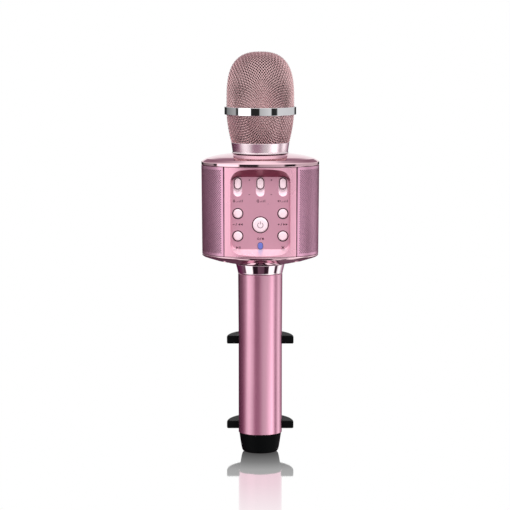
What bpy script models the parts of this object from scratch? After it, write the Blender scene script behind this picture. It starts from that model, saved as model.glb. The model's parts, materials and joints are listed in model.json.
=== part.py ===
"""Hand-held karaoke microphone with a loudspeaker body and a phone clamp.

Metres, +Z up. The origin is the centre of the foot's flat face, so the microphone
stands on Z = 0, its control pocket looks along -Y and the phone clamp is at +Y.
Each sub-part is one named object. Moving pieces have their origin on their joint axis.
"""
import math

import bmesh
import bpy
from mathutils import Matrix, Vector

# Heights up the microphone.
FOOT_TOP = 0.0130
TUBE_BOTTOM = 0.0133
TUBE_TOP = 0.1219
BOTTOM_COVER_LOW = 0.1287
BODY_LOW = 0.1355
BODY_HIGH = 0.1950
TOP_COVER_HIGH = 0.2029
NECK_TOP = 0.2096
RING_LOW = 0.2290
RING_HIGH = 0.2343
HEAD_TOP = 0.2710

# Radii and half widths.
TUBE_RADIUS = 0.01465
TUBE_BORE = 0.0136
FOOT_RADIUS = 0.0142
NECK_RADIUS = 0.0184
HEAD_RADIUS = 0.02275
HEAD_FOOT_RADIUS = 0.0194
RING_RADIUS = 0.0241
BODY_HALF_WIDTH_LOW = 0.0391
BODY_HALF_WIDTH_HIGH = 0.0396
BODY_DEPTH_RATIO = 0.71
PANEL_HALF_WIDTH = 0.0239

# Walls and gaps.
GAP = 0.0003
SKIN = 0.0012
CHASSIS_WALL = 0.0015

# Control pocket.
FLOOR_Y = -0.0200
FLOOR_WALL = 0.0015
FLOOR_LOW = 0.1401
FLOOR_HIGH = 0.1884
FLOOR_HALF_WIDTH = 0.0193
CONTROL_X = 0.0150
SLOT_WIDTH = 0.0058
SLOT_LOW = 0.1754
SLOT_HIGH = 0.1884
KNOB_WIDTH = 0.0052
KNOB_LENGTH = 0.0080
BUTTON_RADIUS = 0.00305
BUTTON_HOLE = 0.00375
POWER_RADIUS = 0.0050
POWER_HOLE = 0.00565
POWER_Z = 0.1565
UPPER_BUTTON_Z = 0.1640
LOWER_BUTTON_Z = 0.1490
LIGHT_Z = 0.1424
LIGHT_WIDTH = 0.0032
LIGHT_LENGTH = 0.0044
BOARD_Y = -0.0146
BOARD_WALL = 0.0016
SWITCH_FACE_Y = -0.0162

# Loudspeakers.
DRIVER_Z = 0.1655
BAFFLE_X = 0.0240
BAFFLE_WALL = 0.0012
DRIVER_RADIUS = 0.0163

# Phone clamp.
JAW_HALF_WIDTH = 0.0227
JAW_FRONT_Y = 0.0075
JAW_BACK_Y = 0.0380
JAW_NOTCH = 0.01525
LOWER_JAW_LOW = 0.0140
LOWER_JAW_HIGH = 0.0193
UPPER_JAW_LOW = 0.0724
UPPER_JAW_HIGH = 0.0779
LIP_HEIGHT = 0.0020
LIP_WIDTH = 0.0024
LIP_FRONT_Y = 0.0320
SPINE_HALF_WIDTH = 0.0104
SPINE_BACK_Y = 0.0244
SPINE_TOP = 0.0721
CHANNEL_LOW = 0.0274
LEG_BOTTOM = 0.0300
CLAMP_SCREW_X = 0.0055
CLAMP_SCREW_Z = 0.0235

# Fasteners and sockets.
SCREW_HEAD = 0.0022
SCREW_SHANK = 0.0010
BODY_SCREW_X = 0.0224
BODY_SCREW_Y = 0.0120
SOCKET_Z = 0.1450
SOCKET_X = 0.0070

# Finishes: colour, roughness, metallic.
FINISHES = {
    "rose_anodised": ((0.60, 0.27, 0.38), 0.32, 0.9),
    "rose_plated": ((0.80, 0.42, 0.52), 0.08, 1.0),
    "rose_gloss": ((0.72, 0.36, 0.46), 0.20, 0.1),
    "rose_mesh": ((0.62, 0.34, 0.38), 0.35, 1.0),
    "perforated_metal": ((0.42, 0.22, 0.36), 0.40, 0.8),
    "chrome": ((0.88, 0.88, 0.90), 0.06, 1.0),
    "pearl": ((0.90, 0.70, 0.76), 0.25, 0.1),
    "black_plastic": ((0.012, 0.012, 0.014), 0.38, 0.0),
    "black_rubber": ((0.02, 0.02, 0.02), 0.8, 0.0),
    "foam": ((0.10, 0.09, 0.10), 0.95, 0.0),
    "frame_plastic": ((0.10, 0.10, 0.11), 0.55, 0.0),
    "board": ((0.03, 0.20, 0.10), 0.45, 0.0),
    "steel": ((0.60, 0.60, 0.62), 0.25, 1.0),
    "cone_paper": ((0.05, 0.05, 0.06), 0.8, 0.0),
    "cell_wrap": ((0.10, 0.22, 0.50), 0.35, 0.0),
    "light_blue": ((0.05, 0.18, 0.75), 0.15, 0.0),
}


# --------------------------------------------------------------------- scene helpers

def clear_scene():
    """Remove every object and the data that only those objects used."""
    for item in list(bpy.data.objects):
        bpy.data.objects.remove(item, do_unlink=True)
    for store in (bpy.data.meshes, bpy.data.curves, bpy.data.materials):
        for item in list(store):
            store.remove(item)


def new_collection(name):
    """Make a collection under the scene."""
    group = bpy.data.collections.get(name) or bpy.data.collections.new(name)
    if group.name not in bpy.context.scene.collection.children:
        bpy.context.scene.collection.children.link(group)
    return group


def new_material(finish):
    """Make one Principled material for a sub-part."""
    colour, roughness, metallic = FINISHES[finish]
    material = bpy.data.materials.new(finish)
    material.use_nodes = True
    shader = material.node_tree.nodes["Principled BSDF"]
    shader.inputs["Base Color"].default_value = (*colour, 1.0)
    shader.inputs["Roughness"].default_value = roughness
    shader.inputs["Metallic"].default_value = metallic
    return material


def place(name, mesh, finish):
    """Put a mesh in the microphone, or among the cutters if it has no finish."""
    item = bpy.data.objects.new(name, mesh)
    if finish:
        new_collection("karaoke_microphone").objects.link(item)
        mesh.materials.append(new_material(finish))
    else:
        new_collection("cutters").objects.link(item)
        item.hide_render = True
        item.display_type = "WIRE"
    return item


def from_bmesh(name, bm, finish, smooth=True):
    """Turn a bmesh into a placed object with sharp edges kept."""
    mesh = bpy.data.meshes.new(name)
    bm.to_mesh(mesh)
    bm.free()
    if smooth:
        mesh.shade_smooth()
        mesh.set_sharp_from_angle(angle=math.radians(35))
    return place(name, mesh, finish)


# --------------------------------------------------------------------- shape helpers

def clockwise(outline):
    """Order an outline so that it runs down its outer side."""
    pairs = zip(outline, outline[1:] + outline[:1])
    area = sum(a[0] * b[1] - b[0] * a[1] for a, b in pairs)
    return outline if area < 0 else outline[::-1]


def turned(name, outline, finish, steps=32, at=(0, 0, 0), turn=(0, 0, 0)):
    """Turn an outline of (radius, height) points about its own axis."""
    points = clockwise(list(outline))
    on_axis = [i for i, (radius, _) in enumerate(points) if radius < 1e-9]
    bm = bmesh.new()
    verts = [bm.verts.new((radius, 0, height)) for radius, height in points]
    for i in range(len(verts)):
        j = (i + 1) % len(verts)
        if not (i in on_axis and j in on_axis):
            bm.edges.new((verts[i], verts[j]))
    mesh = bpy.data.meshes.new(name)
    bm.to_mesh(mesh)
    bm.free()
    item = place(name, mesh, finish)
    screw = item.modifiers.new("turn", "SCREW")
    screw.axis = "Z"
    screw.steps = steps
    screw.render_steps = steps
    screw.use_merge_vertices = True
    screw.merge_threshold = 0.00001
    screw.use_smooth_shade = True
    item.location = at
    item.rotation_euler = turn
    return item


def lofted(name, rings, finish, joined=False):
    """Skin a row of rings with equal numbers of points, capped or joined end to end."""
    bm = bmesh.new()
    loops = [[bm.verts.new(point) for point in ring] for ring in rings]
    following = loops[1:] + loops[:1] if joined else loops[1:]
    for low, high in zip(loops, following):
        for i in range(len(low)):
            j = (i + 1) % len(low)
            bm.faces.new((low[i], low[j], high[j], high[i]))
    if not joined:
        bm.faces.new(loops[0])
        bm.faces.new(loops[-1])
    bmesh.ops.recalc_face_normals(bm, faces=bm.faces)
    return from_bmesh(name, bm, finish)


def box(name, low, high, finish, at=(0, 0, 0)):
    """Make a box between two corners, with its origin at a chosen point."""
    low, high, at = Vector(low), Vector(high), Vector(at)
    bm = bmesh.new()
    bmesh.ops.create_cube(bm, size=1)
    bmesh.ops.scale(bm, vec=high - low, verts=bm.verts)
    bmesh.ops.translate(bm, vec=(high + low) / 2 - at, verts=bm.verts)
    item = from_bmesh(name, bm, finish, smooth=False)
    item.location = at
    return item


def rod(name, start, end, radius, finish, sides=32):
    """Make a round bar between two points."""
    start, end = Vector(start), Vector(end)
    bm = bmesh.new()
    turn = Vector((0, 0, 1)).rotation_difference(end - start).to_matrix().to_4x4()
    bmesh.ops.create_cone(
        bm, cap_ends=True, segments=sides, radius1=radius, radius2=radius,
        depth=(end - start).length, matrix=Matrix.Translation((start + end) / 2) @ turn)
    return from_bmesh(name, bm, finish)


def stadium(width, length, sides=8):
    """Outline of a slot with round ends, centred, as (across, along) points."""
    radius = width / 2
    straight = (length - width) / 2
    points = []
    for centre, first in ((straight, 0), (-straight, 180)):
        for step in range(sides + 1):
            angle = math.radians(first + 180 * step / sides)
            points.append((radius * math.cos(angle), centre + radius * math.sin(angle)))
    return points


def rounded_rectangle(half_width, low, high, radius, sides=6):
    """Outline of a rectangle with round corners, as (x, z) points."""
    corners = (
        (half_width - radius, high - radius, 0),
        (radius - half_width, high - radius, 90),
        (radius - half_width, low + radius, 180),
        (half_width - radius, low + radius, 270))
    points = []
    for x, z, first in corners:
        for step in range(sides + 1):
            angle = math.radians(first + 90 * step / sides)
            points.append((x + radius * math.cos(angle), z + radius * math.sin(angle)))
    return points


def prism(name, outline, low, high, finish, along="Z", at=(0, 0, 0)):
    """Extrude an outline between two levels along Z, or along Y for (x, z) points."""
    def ring(level):
        if along == "Z":
            return [(a, b, level) for a, b in outline]
        return [(a, level, b) for a, b in outline]
    item = lofted(name, [ring(low), ring(high)], finish)
    item.location = at
    return item


def change(item, other, operation):
    """Add one exact Boolean of another object to an item."""
    modifier = item.modifiers.new(operation.lower(), "BOOLEAN")
    modifier.operation = operation
    modifier.solver = "EXACT"
    modifier.object = other
    return item


def cut(item, *cutters):
    """Cut one or more shapes out of an item."""
    for cutter in cutters:
        change(item, cutter, "DIFFERENCE")
    return item


def add(item, *lumps):
    """Weld one or more shapes onto an item."""
    for lump in lumps:
        change(item, lump, "UNION")
    return item


def round_edges(item, width, segments=2, angle=40):
    """Round the edges of an item that are sharper than an angle."""
    bevel = item.modifiers.new("round", "BEVEL")
    bevel.width = width
    bevel.segments = segments
    bevel.limit_method = "ANGLE"
    bevel.angle_limit = math.radians(angle)
    return item


# --------------------------------------------------------------------- body geometry

def half_width_at(height):
    """Half width of the speaker body, which narrows slightly downwards."""
    part = (height - BODY_LOW) / (BODY_HIGH - BODY_LOW)
    return BODY_HALF_WIDTH_LOW + part * (BODY_HALF_WIDTH_HIGH - BODY_HALF_WIDTH_LOW)


def oval(half_width, half_depth, height, sides=40):
    """Ring of points on an oval."""
    ring = []
    for i in range(sides):
        angle = 2 * math.pi * i / sides
        ring.append((half_width * math.cos(angle), half_depth * math.sin(angle), height))
    return ring


def body_ring(height, inset):
    """Oval of the speaker body at a height, inset from its outer face."""
    half_width = half_width_at(height)
    return oval(half_width - inset, half_width * BODY_DEPTH_RATIO - inset, height)


def body_sleeve(name, outer, inner, low, high, finish):
    """Oval sleeve between two insets from the body's outer face."""
    rings = [body_ring(low, outer), body_ring(high, outer),
             body_ring(high, inner), body_ring(low, inner)]
    return lofted(name, rings, finish, joined=True)


def cover_ring(half_width, height, rim, hub):
    """Oval that turns round towards the hub: it is round where it meets the hub."""
    part = (half_width - hub) / (rim - hub)
    return oval(half_width, hub + part * (rim * BODY_DEPTH_RATIO - hub), height)


# --------------------------------------------------------------------- head

def dome_outline(radius, height, base, count=9):
    """Outer side of the head's blunt dome, from its top down to its widest level."""
    points = []
    for i in range(count + 1):
        part = math.cos(0.5 * math.pi * i / count) ** 0.6
        around = max(0.0, 1 - part ** 3.3) ** (1 / 2.6)
        points.append((radius * around, base + height * part))
    return points


def cup_radius(height, inset=0.0):
    """Radius of the head below its ring."""
    part = max(0.0, (0.2315 - height) / 0.0218)
    return HEAD_RADIUS - (HEAD_RADIUS - HEAD_FOOT_RADIUS) * part ** 1.8 - inset


def make_head():
    """Mesh dome and cup, their ring, the foam, the capsule, its cradle and the collar."""
    web_low, web_high = 0.23135, 0.23195
    base = 0.2360
    outer = dome_outline(HEAD_RADIUS, HEAD_TOP - base, base) + [(HEAD_RADIUS, web_high + GAP)]
    inner = dome_outline(HEAD_RADIUS - SKIN, HEAD_TOP - base - SKIN, base)
    inner.append((HEAD_RADIUS - SKIN, web_high + GAP))
    turned("grille_upper", outer + inner[::-1], "rose_mesh")

    levels = [NECK_TOP + GAP + i * (web_low - NECK_TOP - 2 * GAP) / 6 for i in range(7)]
    cup = [(cup_radius(z), z) for z in levels[::-1]] + [(cup_radius(z, SKIN), z) for z in levels]
    turned("grille_lower", cup, "rose_mesh")

    band = 0.0230
    turned("grille_ring", [
        (RING_RADIUS - 0.0004, RING_HIGH), (RING_RADIUS, RING_HIGH - 0.0005),
        (RING_RADIUS, RING_LOW + 0.0005), (RING_RADIUS - 0.0004, RING_LOW),
        (band + 0.0001, RING_LOW), (band + 0.0001, web_low), (0.0213, web_low),
        (0.0213, web_high), (band + 0.0001, web_high), (band + 0.0001, RING_HIGH)],
        "chrome")

    foam_gap, foam_wall, foam_low = 0.0019, 0.0032, 0.2136
    foam = dome_outline(HEAD_RADIUS - foam_gap, HEAD_TOP - base - foam_gap, base, 6)
    foam += [(cup_radius(0.2240, foam_gap), 0.2240), (cup_radius(foam_low, foam_gap), foam_low)]
    lining = dome_outline(HEAD_RADIUS - foam_gap - foam_wall,
                          HEAD_TOP - base - foam_gap - foam_wall, base, 6)
    lining += [(cup_radius(0.2240, foam_gap + foam_wall), 0.2240),
               (cup_radius(foam_low, foam_gap + foam_wall), foam_low)]
    turned("windscreen_foam", foam + lining[::-1], "foam", steps=20)

    turned("mic_capsule", [
        (0, 0.2475), (0.0055, 0.2475), (0.0072, 0.2464), (0.0072, 0.2366), (0, 0.2366)],
        "steel", steps=16)
    turned("capsule_cradle", [
        (0, 0.2362), (0.0076, 0.2362), (0.0076, 0.2440), (0.0088, 0.2440), (0.0088, 0.2325),
        (0.0042, 0.2280), (0.0042, 0.2100), (0.0137, 0.2090), (0.0137, 0.2063), (0, 0.2063)],
        "black_rubber", steps=16)
    turned("neck_collar", [
        (HEAD_FOOT_RADIUS, NECK_TOP), (0.0191, 0.2086), (NECK_RADIUS, 0.2062),
        (NECK_RADIUS - 0.0001, 0.2044), (NECK_RADIUS + 0.0003, 0.2035),
        (0.0190, TOP_COVER_HIGH + GAP), (0.0167, TOP_COVER_HIGH + GAP), (0.0167, 0.1945),
        (0.0120, 0.1945), (0.0120, 0.2060), (0.0142, 0.2060), (0.0142, 0.2130),
        (0.0178, 0.2130), (0.0178, NECK_TOP)], "rose_plated")


# --------------------------------------------------------------------- speaker body

def make_covers():
    """Domed covers above and below the speaker body, round where they meet the neck."""
    rim = BODY_HALF_WIDTH_HIGH
    hub = 0.0170
    low = BODY_HIGH + GAP
    top = [(rim, low), (rim, 0.1974), (rim - 0.0004, 0.1979), (0.0364, 0.1995),
           (0.0292, 0.2015), (0.0235, 0.2024), (0.0194, TOP_COVER_HIGH), (hub, TOP_COVER_HIGH),
           (hub, 0.2011), (0.0233, 0.2006), (0.0288, 0.1997), (0.0356, 0.1978),
           (0.0378, 0.1966), (0.0378, low)]
    lofted("top_cover", [cover_ring(a, z, rim, hub) for a, z in top], "rose_plated", joined=True)

    rim = BODY_HALF_WIDTH_LOW
    hub = 0.0146
    high = BODY_LOW - GAP
    bottom = [(rim, high), (rim - 0.0003, 0.1344), (0.0377, 0.1334), (0.0354, 0.1326),
              (0.0286, 0.1306), (0.0220, 0.1294), (0.0169, BOTTOM_COVER_LOW),
              (hub, BOTTOM_COVER_LOW), (hub, 0.1306), (0.0218, 0.1313), (0.0282, 0.1325),
              (0.0344, 0.1343), (0.0370, high)]
    cover = lofted("bottom_cover", [cover_ring(a, z, rim, hub) for a, z in bottom],
                   "rose_plated", joined=True)
    for i, (x, y) in enumerate(body_screw_places()):
        post = rod(f"cover_post_{i}", (x, y, 0.1310), (x, y, high), 0.0034, None, 12)
        well = rod(f"cover_well_{i}", (x, y, 0.1250), (x, y, 0.1326), 0.0026, None, 12)
        hole = rod(f"cover_hole_{i}", (x, y, 0.1300), (x, y, 0.1360), 0.0014, None, 8)
        cut(add(cover, post), well, hole)


def body_screw_places():
    """The four places of the screws that hold the bottom cover to the chassis."""
    return [(x * BODY_SCREW_X, y * BODY_SCREW_Y) for x in (-1, 1) for y in (-1, 1)]


def control_holes():
    """Cutters for the slots, the button holes and the light in the pocket floor."""
    front, back = FLOOR_Y - 0.002, FLOOR_Y + FLOOR_WALL + 0.001
    cutters = []
    for i, x in enumerate((-CONTROL_X, 0, CONTROL_X)):
        middle = (SLOT_LOW + SLOT_HIGH) / 2
        outline = [(x + a, middle + b) for a, b in stadium(SLOT_WIDTH, SLOT_HIGH - SLOT_LOW)]
        cutters.append(prism(f"slot_cutter_{i}", outline, front, back, None, along="Y"))
    for name, x, z, _, hole in buttons():
        cutters.append(rod(f"{name}_hole", (x, front, z), (x, back, z), hole, None, 20))
    light = [(a, LIGHT_Z + b) for a, b in stadium(LIGHT_WIDTH + 2 * GAP, LIGHT_LENGTH + 2 * GAP)]
    cutters.append(prism("light_hole", light, front, back, None, along="Y"))
    return cutters


def make_front_panel():
    """Gloss panel with the sunk pocket for the controls."""
    panel = lofted("front_panel", [body_ring(BODY_LOW, 0), body_ring(BODY_HIGH, 0)], "rose_gloss")
    slab = box("panel_slab", (-PANEL_HALF_WIDTH, -0.05, 0.12),
               (PANEL_HALF_WIDTH, FLOOR_Y + FLOOR_WALL, 0.21), None)
    change(panel, slab, "INTERSECT")
    mouth = rounded_rectangle(0.0204, 0.1357, 0.1947, 0.0070)
    floor = rounded_rectangle(FLOOR_HALF_WIDTH, FLOOR_LOW, FLOOR_HIGH, 0.0052)
    pocket = lofted("pocket", [[(x, -0.0290, z) for x, z in mouth],
                               [(x, FLOOR_Y, z) for x, z in floor]], None)
    cut(panel, pocket, *control_holes())


def make_rear_panel():
    """Gloss panel on the back, with the two socket openings."""
    panel = body_sleeve("rear_panel", 0, SKIN, BODY_LOW, BODY_HIGH, "rose_gloss")
    slab = box("rear_slab", (-PANEL_HALF_WIDTH, 0.005, 0.12), (PANEL_HALF_WIDTH, 0.05, 0.21), None)
    change(panel, slab, "INTERSECT")
    cut(panel, *socket_openings())


def socket_openings():
    """Cutters for the two sockets, through the rear panel and the chassis."""
    made = [bpy.data.objects.get("charge_opening"), bpy.data.objects.get("audio_opening")]
    if all(made):
        return made
    outline = [(b - SOCKET_X, a + SOCKET_Z) for a, b in stadium(0.0036, 0.0088)]
    return [prism("charge_opening", outline, 0.018, 0.040, None, along="Y"),
            rod("audio_opening", (SOCKET_X, 0.018, SOCKET_Z), (SOCKET_X, 0.040, SOCKET_Z),
                0.0034, None, 16)]


def make_side_grilles():
    """Perforated metal skins on both sides."""
    edge = PANEL_HALF_WIDTH + GAP
    for name, low, high in (("grille_left", -0.05, -edge), ("grille_right", edge, 0.05)):
        skin = body_sleeve(name, 0, SKIN, BODY_LOW, BODY_HIGH, "perforated_metal")
        side = box(f"{name}_side", (low, -0.05, 0.12), (high, 0.05, 0.21), None)
        change(skin, side, "INTERSECT")


def make_chassis():
    """Inner frame with a roof and a wall for each loudspeaker."""
    outer = SKIN + GAP
    roof = 0.1928
    chassis = lofted("chassis", [body_ring(BODY_LOW + 0.0005, outer),
                                 body_ring(BODY_HIGH - 0.0003, outer)], "frame_plastic")
    hollow = lofted("chassis_hollow", [body_ring(0.1300, outer + CHASSIS_WALL),
                                       body_ring(roof, outer + CHASSIS_WALL)], None)
    for side in (-1, 1):
        walls = sorted((side * BAFFLE_X, side * (BAFFLE_X + BAFFLE_WALL)))
        cut(hollow, box(f"baffle_{side}", (walls[0], -0.05, 0.12), (walls[1], 0.05, 0.21), None))
    cut(chassis, hollow)
    for i, (x, y) in enumerate(body_screw_places()):
        boss = rod(f"boss_{i}", (x, y, BODY_LOW + 0.0005), (x, y, 0.1490), 0.0027, None, 12)
        pilot = rod(f"pilot_{i}", (x, y, 0.1300), (x, y, 0.1475), 0.0014, None, 8)
        cut(add(chassis, boss), pilot)
    front = box("front_window", (-PANEL_HALF_WIDTH - GAP, -0.05, 0.12),
                (PANEL_HALF_WIDTH + GAP, FLOOR_Y + FLOOR_WALL + GAP, 0.21), None)
    board = box("board_window", (-0.0196, -0.05, 0.12), (0.0196, -0.0120, 0.21), None)
    neck = rod("neck_opening", (0, 0, 0.18), (0, 0, 0.21), 0.0170, None, 32)
    cut(chassis, front, board, neck)
    through = rod("driver_hole", (-0.03, 0, DRIVER_Z), (0.03, 0, DRIVER_Z), 0.0153, None, 24)
    cut(chassis, through)
    for side in (-1, 1):
        cut(chassis, rod(f"sound_hole_{side}", (side * 0.0272, 0, DRIVER_Z),
                         (side * 0.05, 0, DRIVER_Z), 0.0150, None, 24))
    cut(chassis, *socket_openings())


def make_drivers():
    """Loudspeakers that look out through the side grilles."""
    face = BAFFLE_X + BAFFLE_WALL + GAP
    basket = [
        (DRIVER_RADIUS, 0.0014), (DRIVER_RADIUS, 0), (0.0149, 0), (0.0149, -0.0018),
        (0.0106, -0.0062), (0.0100, -0.0066), (0.0100, -0.0124), (0, -0.0124), (0, -0.0058),
        (0.0098, -0.0058), (0.0142, 0.0000), (0.0143, 0.0014)]
    cone = [
        (0, -0.0020), (0.0030, -0.0026), (0.0042, -0.0036), (0.0120, 0.0006),
        (0.0140, 0.0009), (0.0140, 0.0004), (0.0120, 0.0000), (0.0042, -0.0044),
        (0.0042, -0.0054), (0.0036, -0.0054), (0.0036, -0.0040), (0, -0.0026)]
    for name, side in (("left", -1), ("right", 1)):
        turn = (0, side * math.pi / 2, 0)
        at = (side * face, 0, DRIVER_Z)
        turned(f"driver_{name}", basket, "steel", 24, at, turn)
        turned(f"cone_{name}", cone, "cone_paper", 20, at, turn)


# --------------------------------------------------------------------- controls

def buttons():
    """Name, place, radius and hole radius of each push button."""
    return (
        ("button_back", -CONTROL_X, UPPER_BUTTON_Z, BUTTON_RADIUS, BUTTON_HOLE),
        ("button_next", CONTROL_X, UPPER_BUTTON_Z, BUTTON_RADIUS, BUTTON_HOLE),
        ("button_play", -CONTROL_X, LOWER_BUTTON_Z, BUTTON_RADIUS, BUTTON_HOLE),
        ("button_mode", CONTROL_X, LOWER_BUTTON_Z, BUTTON_RADIUS, BUTTON_HOLE),
        ("power_button", 0.0, POWER_Z, POWER_RADIUS, POWER_HOLE))


def make_buttons():
    """Push buttons with a flange behind the floor, and the switch behind each."""
    flange = FLOOR_WALL + GAP
    facing = (math.pi / 2, 0, 0)
    for name, x, z, radius, _ in buttons():
        lip = radius + 0.0013
        turned(name, [
            (0, 0.0009), (radius - 0.0008, 0.0008), (radius - 0.0002, 0.0005),
            (radius, 0.0001), (radius, -flange), (lip, -flange), (lip, -flange - 0.0007),
            (0.0012, -flange - 0.0007), (0.0012, -0.0031), (0, -0.0031)],
            "pearl", 18, (x, FLOOR_Y, z), facing)
        label = name.replace("button_", "").replace("_button", "")
        switch = box(f"switch_{label}", (x - 0.0023, SWITCH_FACE_Y + 0.0004, z - 0.0023),
                     (x + 0.0023, BOARD_Y - GAP, z + 0.0023), "frame_plastic", (x, 0, z))
        plunger = rod(f"{label}_plunger", (x, SWITCH_FACE_Y, z), (x, BOARD_Y - 0.0008, z),
                      0.0011, None, 16)
        plunger.parent = switch
        plunger.matrix_parent_inverse = Matrix.Translation((-x, 0, -z))
        add(switch, plunger)


def make_sliders():
    """Slide controls: a knob on a dust plate, and the slide resistor behind it."""
    middle = SLOT_HIGH - GAP - KNOB_LENGTH / 2
    travel = SLOT_HIGH - SLOT_LOW - 2 * GAP - KNOB_LENGTH
    back = FLOOR_Y + FLOOR_WALL
    for i, x in enumerate((-CONTROL_X, 0, CONTROL_X), start=1):
        at = Vector((x, FLOOR_Y, middle))
        knob = prism(f"slider_knob_{i}", stadium(KNOB_WIDTH, KNOB_LENGTH), -0.0010,
                     back - FLOOR_Y + 0.0006, "pearl", along="Y", at=at)
        plate = box(f"dust_plate_{i}",
                    (x - 0.0042, back + GAP, SLOT_LOW - 0.0005),
                    (x + 0.0042, back + GAP + 0.0006, SLOT_HIGH + 0.0005 + travel), None, at)
        tongue = box(f"knob_tongue_{i}", (x - 0.0005, back + GAP + 0.0003, middle - 0.0006),
                     (x + 0.0005, SWITCH_FACE_Y + 0.0006, middle + 0.0006), None, at)
        add(knob, plate, tongue)
        slide = box(f"slider_pot_{i}", (x - 0.0030, SWITCH_FACE_Y, 0.1720),
                    (x + 0.0030, BOARD_Y - GAP, 0.1925), "frame_plastic")
        groove = box(f"pot_groove_{i}", (x - 0.0009, SWITCH_FACE_Y - 0.001, 0.1760),
                     (x + 0.0009, SWITCH_FACE_Y + 0.0009, 0.1900), None)
        cut(slide, groove)


def make_board():
    """Circuit board, the status light and the sockets on their own small board."""
    box("main_board", (-0.0190, BOARD_Y, 0.1380), (0.0190, BOARD_Y + BOARD_WALL, 0.1935), "board")
    light = [(a, LIGHT_Z + b) for a, b in stadium(LIGHT_WIDTH, LIGHT_LENGTH)]
    prism("status_light", light, FLOOR_Y - 0.0003, -0.0164, "light_blue", along="Y")
    box("status_led", (-0.0010, -0.0160, LIGHT_Z - 0.0010), (0.0010, BOARD_Y - GAP,
                                                            LIGHT_Z + 0.0010), "pearl")
    box("socket_board", (-0.0130, 0.0184, 0.1390), (0.0130, 0.0200, 0.1510), "board")
    face = 0.0203
    outline = [(b - SOCKET_X, a + SOCKET_Z) for a, b in stadium(0.0029, 0.0080)]
    socket = prism("charge_socket", outline, face, 0.0268, "steel", along="Y")
    mouth = [(b - SOCKET_X, a + SOCKET_Z) for a, b in stadium(0.0023, 0.0074)]
    cut(socket, prism("charge_mouth", mouth, face + 0.0010, 0.0300, None, along="Y"))
    turned("audio_socket", [
        (0, 0), (0.0030, 0), (0.0030, 0.0066), (0.0018, 0.0066), (0.0018, 0.0010), (0, 0.0010)],
        "black_plastic", 24, (SOCKET_X, face, SOCKET_Z), (-math.pi / 2, 0, 0))


# --------------------------------------------------------------------- handle

def make_handle():
    """Plated collar, anodised tube and rubbery end cap."""
    turned("handle_collar", [
        (0.0142, 0.1370), (0.0142, BOTTOM_COVER_LOW - GAP), (0.0165, BOTTOM_COVER_LOW - GAP),
        (0.0158, 0.1273), (0.0153, 0.1260), (0.0151, 0.1242), (0.0151, TUBE_TOP + GAP),
        (0.0133, TUBE_TOP + GAP), (0.0133, 0.1150), (0.0115, 0.1150), (0.0115, 0.1370)],
        "rose_plated")
    tube = turned("handle_tube", [
        (TUBE_RADIUS + 0.0003, TUBE_TOP), (TUBE_RADIUS, 0.0800), (TUBE_RADIUS, TUBE_BOTTOM),
        (TUBE_BORE, TUBE_BOTTOM), (TUBE_BORE, TUBE_TOP)], "rose_anodised", steps=40)
    foot = turned("foot_cap", [
        (0.01325, 0.0300), (0.01325, FOOT_TOP), (FOOT_RADIUS, FOOT_TOP), (0.0133, 0.0070),
        (0.0122, 0.0012), (0.0114, 0.0003), (0.0106, 0),
        (0, 0), (0, 0.0030), (0.0110, 0.0030), (0.0110, 0.0300)], "black_plastic")
    for side in (-1, 1):
        x = side * CLAMP_SCREW_X
        hole = rod(f"tube_screw_hole_{side}", (x, 0.006, CLAMP_SCREW_Z),
                   (x, 0.020, CLAMP_SCREW_Z), 0.0014, None, 10)
        cut(tube, hole)
        cut(foot, hole)


def make_battery():
    """Rechargeable cell in an open carrier, with its contact spring."""
    carrier = turned("battery_carrier", [
        (0, 0.1120), (0.0129, 0.1120), (0.0129, 0.0340), (0, 0.0340)], "frame_plastic", 24)
    trough = rod("carrier_trough", (0, 0, 0.0380), (0, 0, 0.1095), 0.0096, None, 20)
    side = box("carrier_side", (-0.02, -0.02, 0.0380), (0.02, -0.0040, 0.1095), None)
    cut(carrier, trough, side)
    turned("battery_cell", [
        (0, 0.1090), (0.0030, 0.1090), (0.0030, 0.1080), (0.0086, 0.1080), (0.0092, 0.1074),
        (0.0092, 0.0440), (0.0086, 0.0434), (0, 0.0434)], "cell_wrap", 20)
    coil("battery_spring", (0, 0, 0.0387), 0.0427, 0.0045, 0.00035, 3, "steel", 8)


def coil(name, base, top, radius, wire, turns, finish, per_turn):
    """Wire coil that stands on a base point and reaches up to a height."""
    curve = bpy.data.curves.new(name, "CURVE")
    curve.dimensions = "3D"
    curve.bevel_depth = wire
    curve.bevel_resolution = 1
    curve.use_fill_caps = True
    count = turns * per_turn + 1
    spline = curve.splines.new("POLY")
    spline.points.add(count - 1)
    for i, point in enumerate(spline.points):
        angle = 2 * math.pi * i / per_turn
        height = (top - base[2]) * i / (count - 1)
        point.co = (radius * math.cos(angle), radius * math.sin(angle), height, 1)
    item = bpy.data.objects.new(name, curve)
    item.location = base
    new_collection("karaoke_microphone").objects.link(item)
    curve.materials.append(new_material(finish))
    return item


# --------------------------------------------------------------------- phone clamp

def jaw_outline(inset=0.0, front=JAW_FRONT_Y, sides=18):
    """Half oval behind the handle, notched round the tube if it reaches that far."""
    half_width = JAW_HALF_WIDTH - inset
    depth = JAW_BACK_Y - JAW_FRONT_Y - inset
    start = math.asin((front - JAW_FRONT_Y) / depth)
    points = []
    for i in range(sides + 1):
        angle = start + (math.pi - 2 * start) * i / sides
        points.append((half_width * math.cos(angle), JAW_FRONT_Y + depth * math.sin(angle)))
    if front < JAW_NOTCH:
        edge = math.asin(front / JAW_NOTCH)
        for i in range(11):
            angle = math.pi - edge - (math.pi - 2 * edge) * i / 10
            points.append((JAW_NOTCH * math.cos(angle), JAW_NOTCH * math.sin(angle)))
    return points


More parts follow.
